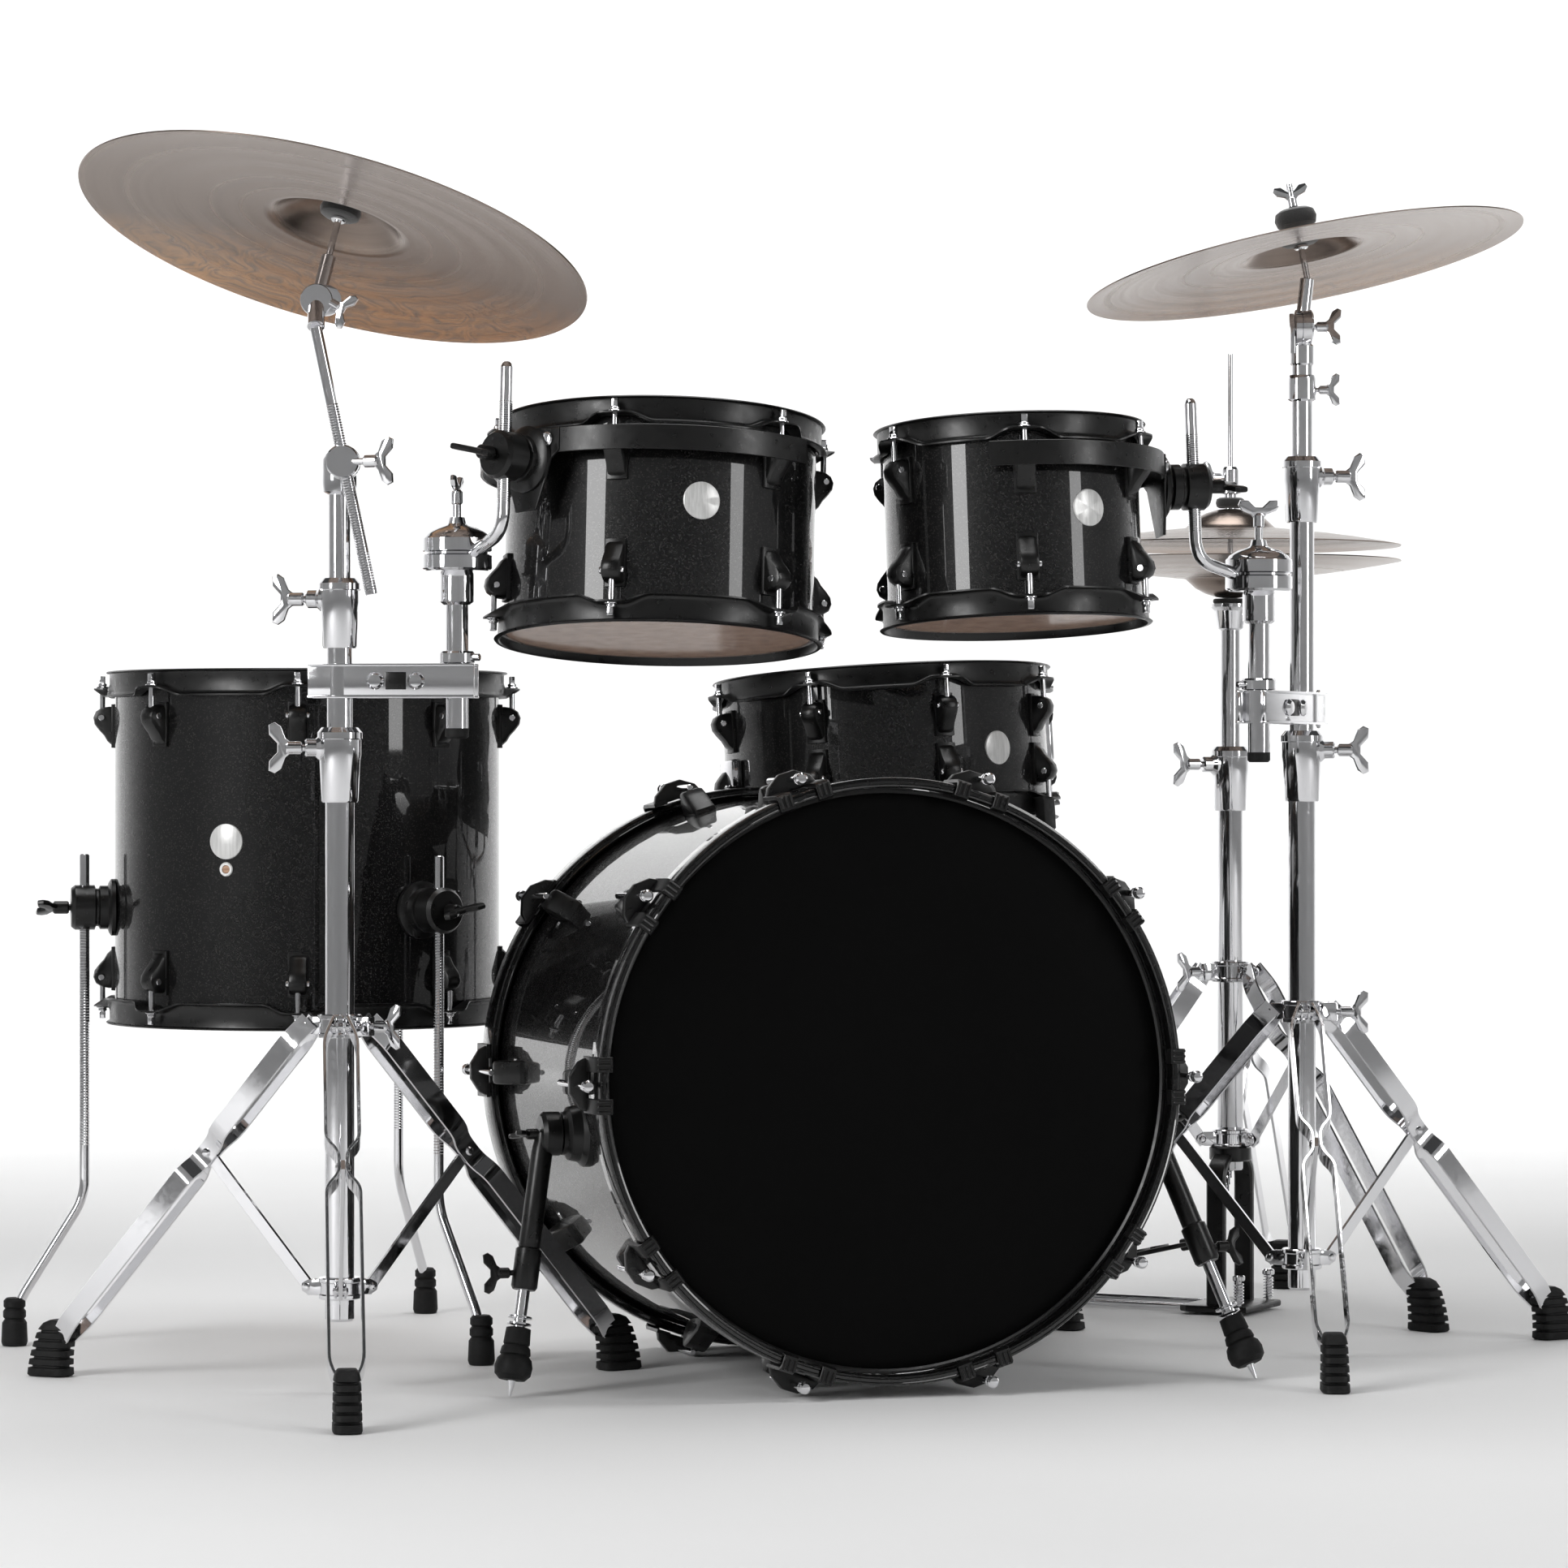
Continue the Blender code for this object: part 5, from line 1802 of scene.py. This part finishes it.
def snare():
    home, radius, half = drum("snare", "kit_frame", "coated_film", vent=False)
    wires = []
    for i in range(WIRE_COUNT):
        x = (i - (WIRE_COUNT - 1) / 2) * 0.0021
        wires.append(
            rod((x, -radius + 0.045, -half - 0.0022), (x, radius - 0.045, -half - 0.0022), 0.0009, 6)
        )
    for end in (-1, 1):
        wires.append(block((0, end * (radius - 0.043), -half - 0.0026), (0.046, 0.012, 0.0014)))
    for shape in wires:
        moved(shape, home @ facing(200))
    piece("snare_wires", "kit_frame", "chrome", wires)
    strainer = [
        block((radius + 0.008, 0, 0.002), (0.016, 0.032, 0.070), None, 0.003),
        block((radius + 0.017, 0, 0.012), (0.010, 0.020, 0.058), None, 0.003),
        rod((radius + 0.014, 0, -0.036), (radius + 0.014, 0, -0.052), 0.007, SMALL),
    ]
    for shape in strainer:
        moved(shape, home @ facing(110 + 1.5))
    butt = moved(
        block((radius + 0.006, 0, -0.020), (0.012, 0.040, 0.030), None, 0.003), home @ facing(290 + 1.5)
    )
    piece("snare_strainer", "kit_frame", "chrome", [*strainer, butt])
    x, y = home.translation.x, home.translation.y
    under = -half - 0.008
    hub = home @ Vector((0, 0, under - 0.045))
    up = (home.to_3x3() @ UP).normalized()
    reach = radius + 0.009
    shapes = [
        rod((x, y, 0.116), (x, y, hub.z - 0.010), 0.0127, 48),
        spun(
            [(0.0155, 0), (0.024, 0.004), (0.024, 0.030), (0.020, 0.040), (0.0, 0.041)],
            hub - up * 0.028,
            up,
        ),
    ]
    shapes += wing(hub + Vector((0, -0.024, -0.010)), (0.35, -1, 0), UP, 0.95, 0.008)
    tips = []
    for i in range(3):
        turn = home @ facing(60 + 120 * i)
        path = rounded_path(
            [
                (0.010, 0, under - 0.045),
                (reach - 0.010, 0, under - 0.024),
                (reach + 0.0045, 0, under - 0.010),
                (reach + 0.0045, 0, under + 0.014),
            ],
            0.018,
            5,
        )
        for side in (-0.0085, 0.0085):
            shapes.append(
                moved(
                    sweep(
                        [point + Vector((0, side, 0)) for point in path[:-1]], circle(0.0034), (0, 1, 0)
                    ),
                    turn,
                )
            )
        outline = [
            (0.0016, -0.017),
            (0.0016, 0.016),
            (-0.002, 0.019),
            (0.011, 0.019),
            (0.013, 0.015),
            (0.013, -0.015),
            (0.008, -0.020),
        ]
        grip = Matrix.Translation(
            (reach - 0.0005, 0, under + 0.001)
        ) @ Matrix.Rotation(math.radians(90), 4, "X")
        tips.append(moved(slab(outline, 0.026, grip, 0.0025), turn))
    outwards = {
        part: facing(60 + 120 * i).to_3x3() @ RIGHT for i, part in enumerate(("front", "right", "left"))
    }
    none = lambda part: "kit_frame"
    shapes += tripod(
        "snare_stand",
        "kit_frame",
        none,
        none,
        x,
        y,
        0.320,
        0.150,
        0.034,
        0.22,
        outwards,
        0.0127,
        (1, -0.4, 0),
    )
    shapes += height_collar(x, y, 0.395, 0.455, 0.0127, (-1, -0.5, 0))
    piece("snare_stand_frame", "kit_frame", "chrome", shapes, ["snare_stand"])
    piece("snare_stand_grips", "kit_frame", "rubber", tips)


def spring(at, radius, pitch, turns, wire):
    path = []
    for i in range(turns * 12 + 1):
        a = 2 * math.pi * i / 12
        path.append(Vector(at) + Vector((radius * math.cos(a), radius * math.sin(a), pitch * i / 12)))
    return sweep(path, circle(wire, 6), UP)


def hihat():
    bottom_low, bottom_high = (Vector(corner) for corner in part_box("hihat_bottom_cymbal"))
    x, y = (bottom_low.x + bottom_high.x) / 2, (bottom_low.y + bottom_high.y) / 2
    radius = 7.5 * INCH
    lower = bottom_high.z
    bell, height, bow = 0.050, 0.022, 0.019
    home = Matrix.Translation((x, y, lower - height - bow)) @ Matrix.Rotation(math.pi, 4, "X")
    # The last argument sets how much painted warm light falls on the hats' front.
    finish = bronze("bronze_hats", (x, y, 0), UP, 0.2)
    piece(
        "hihat_lower_plate",
        "kit_frame",
        "chrome",
        [cymbal(radius, bell, height, bow, home)],
        ["hihat_bottom_cymbal"],
        40,
        finish,
    )
    body = "hihat_top_cymbal"
    top = lower + HAT_GAP + height + bow
    piece(
        "hihat_upper_plate",
        body,
        "chrome",
        [cymbal(radius, bell, height, bow, shift(x, y, top))],
        [body],
        40,
        finish,
    )
    rod_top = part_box(body)[1][2]
    clutch = [
        rod((x, y, 0.620), (x, y, rod_top), 0.0031, SMALL),
        upright(
            [(0.0080, top - 0.014), (0.0105, top - 0.012), (0.0105, top - 0.006), (0.0080, top - 0.004)],
            x,
            y,
        ),
        upright(
            [
                (0.0070, top - 0.010),
                (0.0070, top + 0.016),
                (0.0125, top + 0.017),
                (0.0125, top + 0.022),
                (0.0095, top + 0.024),
                (0.0095, top + 0.044),
                (0.0075, top + 0.047),
            ],
            x,
            y,
        ),
        *wing(Vector((x, y, top + 0.035)) + Vector((-0.007, -0.003, 0)), (-1, -0.4, 0), UP, 0.75, 0.007),
    ]
    piece("hihat_clutch", body, "chrome", clutch)
    piece(
        "hihat_clutch_felts",
        body,
        "felt",
        [
            felt_stack(shift(x, y, 0), top + 0.0010, top + 0.0125, 0.0165),
            felt_stack(shift(x, y, 0), top - 0.0045, top - 0.0018, 0.0125),
        ],
    )
    seat_top = lower - height - bow - 0.002
    shapes = [
        upright([(BASE - 0.001, 0.158), (BASE, 0.160), (BASE, 0.60)], x, y, 48),
        sleeve(
            [
                (0.0062, 0.60),
                (TOP, 0.60),
                (TOP, seat_top - 0.034),
                (0.0150, seat_top - 0.032),
                (0.0185, seat_top - 0.012),
                (0.0225, seat_top - 0.008),
                (0.0225, seat_top - 0.0045),
                (0.0062, seat_top - 0.0045),
            ],
            x,
            y,
        ),
        *height_collar(x, y, 0.560, 0.632, BASE, (-1, -0.35, 0)),
        *wing(
            Vector((x, y, seat_top - 0.018)) + Vector((0.016, -0.006, 0)),
            (1, -0.4, -0.2),
            UP,
            0.55,
            0.006,
        ),
    ]
    outwards = {
        part: facing(42.5 + 120 * i).to_3x3() @ RIGHT for i, part in enumerate(("front", "right", "left"))
    }
    none = lambda part: "kit_frame"
    shapes += tripod(
        "hihat", "kit_frame", none, none, x, y, 0.380, 0.193, 0.034, 0.29, outwards, BASE, (-1, -0.5, 0)
    )
    piece("hihat_stand_tube", "kit_frame", "chrome", shapes, ["hihat_stand"])
    piece(
        "hihat_seat_felt",
        "kit_frame",
        "felt",
        [felt_stack(shift(x, y, 0), seat_top - 0.0042, seat_top + 0.0015, 0.0195)],
    )
    hihat_base(x, y)


def hihat_base(x, y):
    """The pedal's frame, base plate with spurs, radius rods, heel plate, chain and footboard."""
    turn = Matrix.Translation((x, y, 0)) @ facing(-117.0)
    black = []
    path = rounded_path(
        [
            (0, -0.041, 0.004),
            (0, -0.041, 0.160),
            (0, -0.018, 0.176),
            (0, 0.018, 0.176),
            (0, 0.041, 0.160),
            (0, 0.041, 0.004),
        ],
        0.03,
        8,
    )
    black.append(sweep(path, rectangle(0.022, 0.0085, 0.002), RIGHT))
    black.append(spun([(0.021, 0), (0.0235, 0.002), (0.0235, 0.015), (0.017, 0.020)], (0, 0, 0.168), UP))
    outline = [
        (-0.040, -0.052),
        (0.030, -0.058),
        (0.040, -0.050),
        (0.040, 0.050),
        (0.030, 0.058),
        (-0.040, 0.052),
    ]
    black.append(slab(outline, 0.0075, shift(0, 0, 0.0062), 0.002))
    black.append(block((0.280, 0, 0.0070), (0.054, 0.086, 0.010), None, 0.003))
    black.append(rod((0.268, -0.038, 0.020), (0.268, 0.038, 0.020), 0.0065, SMALL))
    bright = []
    for sign in (-1, 1):
        bright.append(rod((0.030, sign * 0.030, 0.006), (0.262, sign * 0.030, 0.006), 0.0034, SMALL))
        at = Vector((-0.028, sign * 0.044, 0))
        bright.append(spring(at + UP * 0.012, 0.0052, 0.0034, 7, 0.0009))
        bright.append(rod(at + UP * 0.001, at + UP * 0.040, 0.0030, SMALL))
        bright.append(
            spun(
                [(0.0062, 0), (0.0070, 0.0010), (0.0070, 0.0050), (0.0055, 0.0065)],
                at + UP * 0.038,
                UP,
                SMALL,
            )
        )
    chain_low, chain_high = Vector((0.018, 0, 0.082)), Vector((0.0, 0, 0.165))
    steps = 11
    for i in range(steps):
        a = chain_low.lerp(chain_high, i / steps)
        b = chain_low.lerp(chain_high, (i + 1) / steps)
        for sign in (-1, 1):
            bright.append(
                block(
                    (a + b) / 2 + Vector((0, sign * (0.0036 if i % 2 else 0.0024), 0)),
                    (0.0058, 0.0010, 0.0100),
                )
            )
        bright.append(rod(a - Vector((0, 0.0048, 0)), a + Vector((0, 0.0048, 0)), 0.0021, 8))
    for shape in (*black, *bright):
        moved(shape, turn)
    piece("hihat_pedal_frame", "kit_frame", "satin", black)
    piece("hihat_radius_rods", "kit_frame", "chrome", bright)
    hinge = pivot("hihat_pedal_press")
    toward = (Vector((x, y, hinge.z)) - hinge).normalized()
    slope = math.radians(13.0)
    toe = toward * math.cos(slope) + UP * math.sin(slope)
    side = toward.cross(UP).normalized()
    turn = Matrix.Translation(hinge) @ Matrix((side, toe, side.cross(toe))).transposed().to_4x4()
    outline = [
        (-0.034, 0.006),
        (0.034, 0.006),
        (0.036, 0.060),
        (0.034, 0.140),
        (0.027, 0.215),
        (0.018, 0.240),
        (-0.018, 0.240),
        (-0.027, 0.215),
        (-0.034, 0.140),
        (-0.036, 0.060),
    ]
    board = [slab(outline, 0.0055, turn, 0.0018)]
    for i in range(9):
        half = 0.026 - 0.0008 * i
        board.append(block((0, 0.040 + 0.020 * i, 0.0036), (2 * half, 0.0070, 0.0030), turn, 0.0010))
    board.append(block((0, 0.236, 0.0), (0.020, 0.016, 0.014), turn, 0.003))
    piece("hihat_footboard", "hihat_pedal", "satin", board, ["hihat_pedal"])


# ---------------------------------------------------------------- the picture


def camera():
    data = bpy.data.cameras.new("camera")
    data.sensor_width = 36.0
    data.lens = 6500.0 / 1932.0 * 36.0
    made = bpy.data.objects.new("camera", data)
    made.location = (-0.01105, -5.49605, 0.59)
    made.rotation_euler = (math.radians(90), 0, 0)
    bpy.context.scene.collection.objects.link(made)
    bpy.context.scene.camera = made


def area(name, at, target, size, power, size_y=None):
    data = bpy.data.lights.new(name, "AREA")
    data.shape = "RECTANGLE"
    data.size, data.size_y = size, size_y or size
    data.energy = power
    made = bpy.data.objects.new(name, data)
    made.location = at
    made.rotation_euler = (Vector(target) - Vector(at)).to_track_quat("-Z", "Y").to_euler()
    bpy.context.scene.collection.objects.link(made)


def studio():
    shape = bmesh.new()
    profile = [(0.0, 0.0), (3.0, 0.0), (8.0, 0.0)]
    profile += [
        (8.0 + 2.0 * math.sin(a), 2.0 - 2.0 * math.cos(a))
        for a in (math.radians(10 * i) for i in range(1, 10))
    ]
    profile.append((10.0, 7.0))
    rows = []
    for r, z in profile:
        count = FINE if r else 1
        rows.append(
            [
                shape.verts.new(
                    (
                        r * math.cos(2 * math.pi * i / FINE),
                        r * math.sin(2 * math.pi * i / FINE),
                        z - 0.0006,
                    )
                )
                for i in range(count)
            ]
        )
    for row, following in zip(rows, rows[1:]):
        for i in range(FINE):
            j = (i + 1) % FINE
            shape.faces.new(
                list(dict.fromkeys([row[i % len(row)], row[j % len(row)], following[j], following[i]]))
            )
    bmesh.ops.recalc_face_normals(shape, faces=shape.faces)
    bmesh.ops.reverse_faces(shape, faces=shape.faces)
    mesh = bpy.data.meshes.new("floor")
    shape.to_mesh(mesh)
    shape.free()
    mesh.shade_smooth()
    floor = bpy.data.objects.new("floor", mesh)
    bpy.context.scene.collection.objects.link(floor)
    paint = Nodes("floor_paint", Roughness=0.7)
    paint.colour(paint.ramp(paint.noise(1.2), [(0.3, rgb(0.84, 0.84, 0.84)), (0.7, rgb(0.87, 0.87, 0.87))]))
    mesh.materials.append(paint.material)
    area("key", (-3.1, -3.0, 2.3), (0, 0, 0.6), 1.1, 105, 2.8)
    area("fill", (3.5, -2.4, 1.9), (0, 0, 0.6), 0.8, 42, 2.6)
    area("top", (0.0, 0.2, 4.0), (0, 0, 0.4), 2.6, 90)
    area("wall_left", (-3.5, 3.4, 4.2), (-3.0, 9.6, 1.2), 2.4, 300)
    area("wall_right", (3.5, 3.4, 4.2), (3.0, 9.6, 1.2), 2.4, 300)
    world = bpy.data.worlds.new("world")
    world.use_nodes = True
    background = world.node_tree.nodes["Background"]
    background.inputs["Color"].default_value = rgb(0.93, 0.94, 0.96)
    background.inputs["Strength"].default_value = 0.06
    bpy.context.scene.world = world
    bpy.context.scene.view_settings.view_transform = "Standard"


camera()
studio()
floor_tom()
rack_tom("left_tom")
rack_tom("right_tom")
bass_drum()
cymbal_stand("left")
cymbal_stand("right")
boom()
tilter()
snare()
hihat()
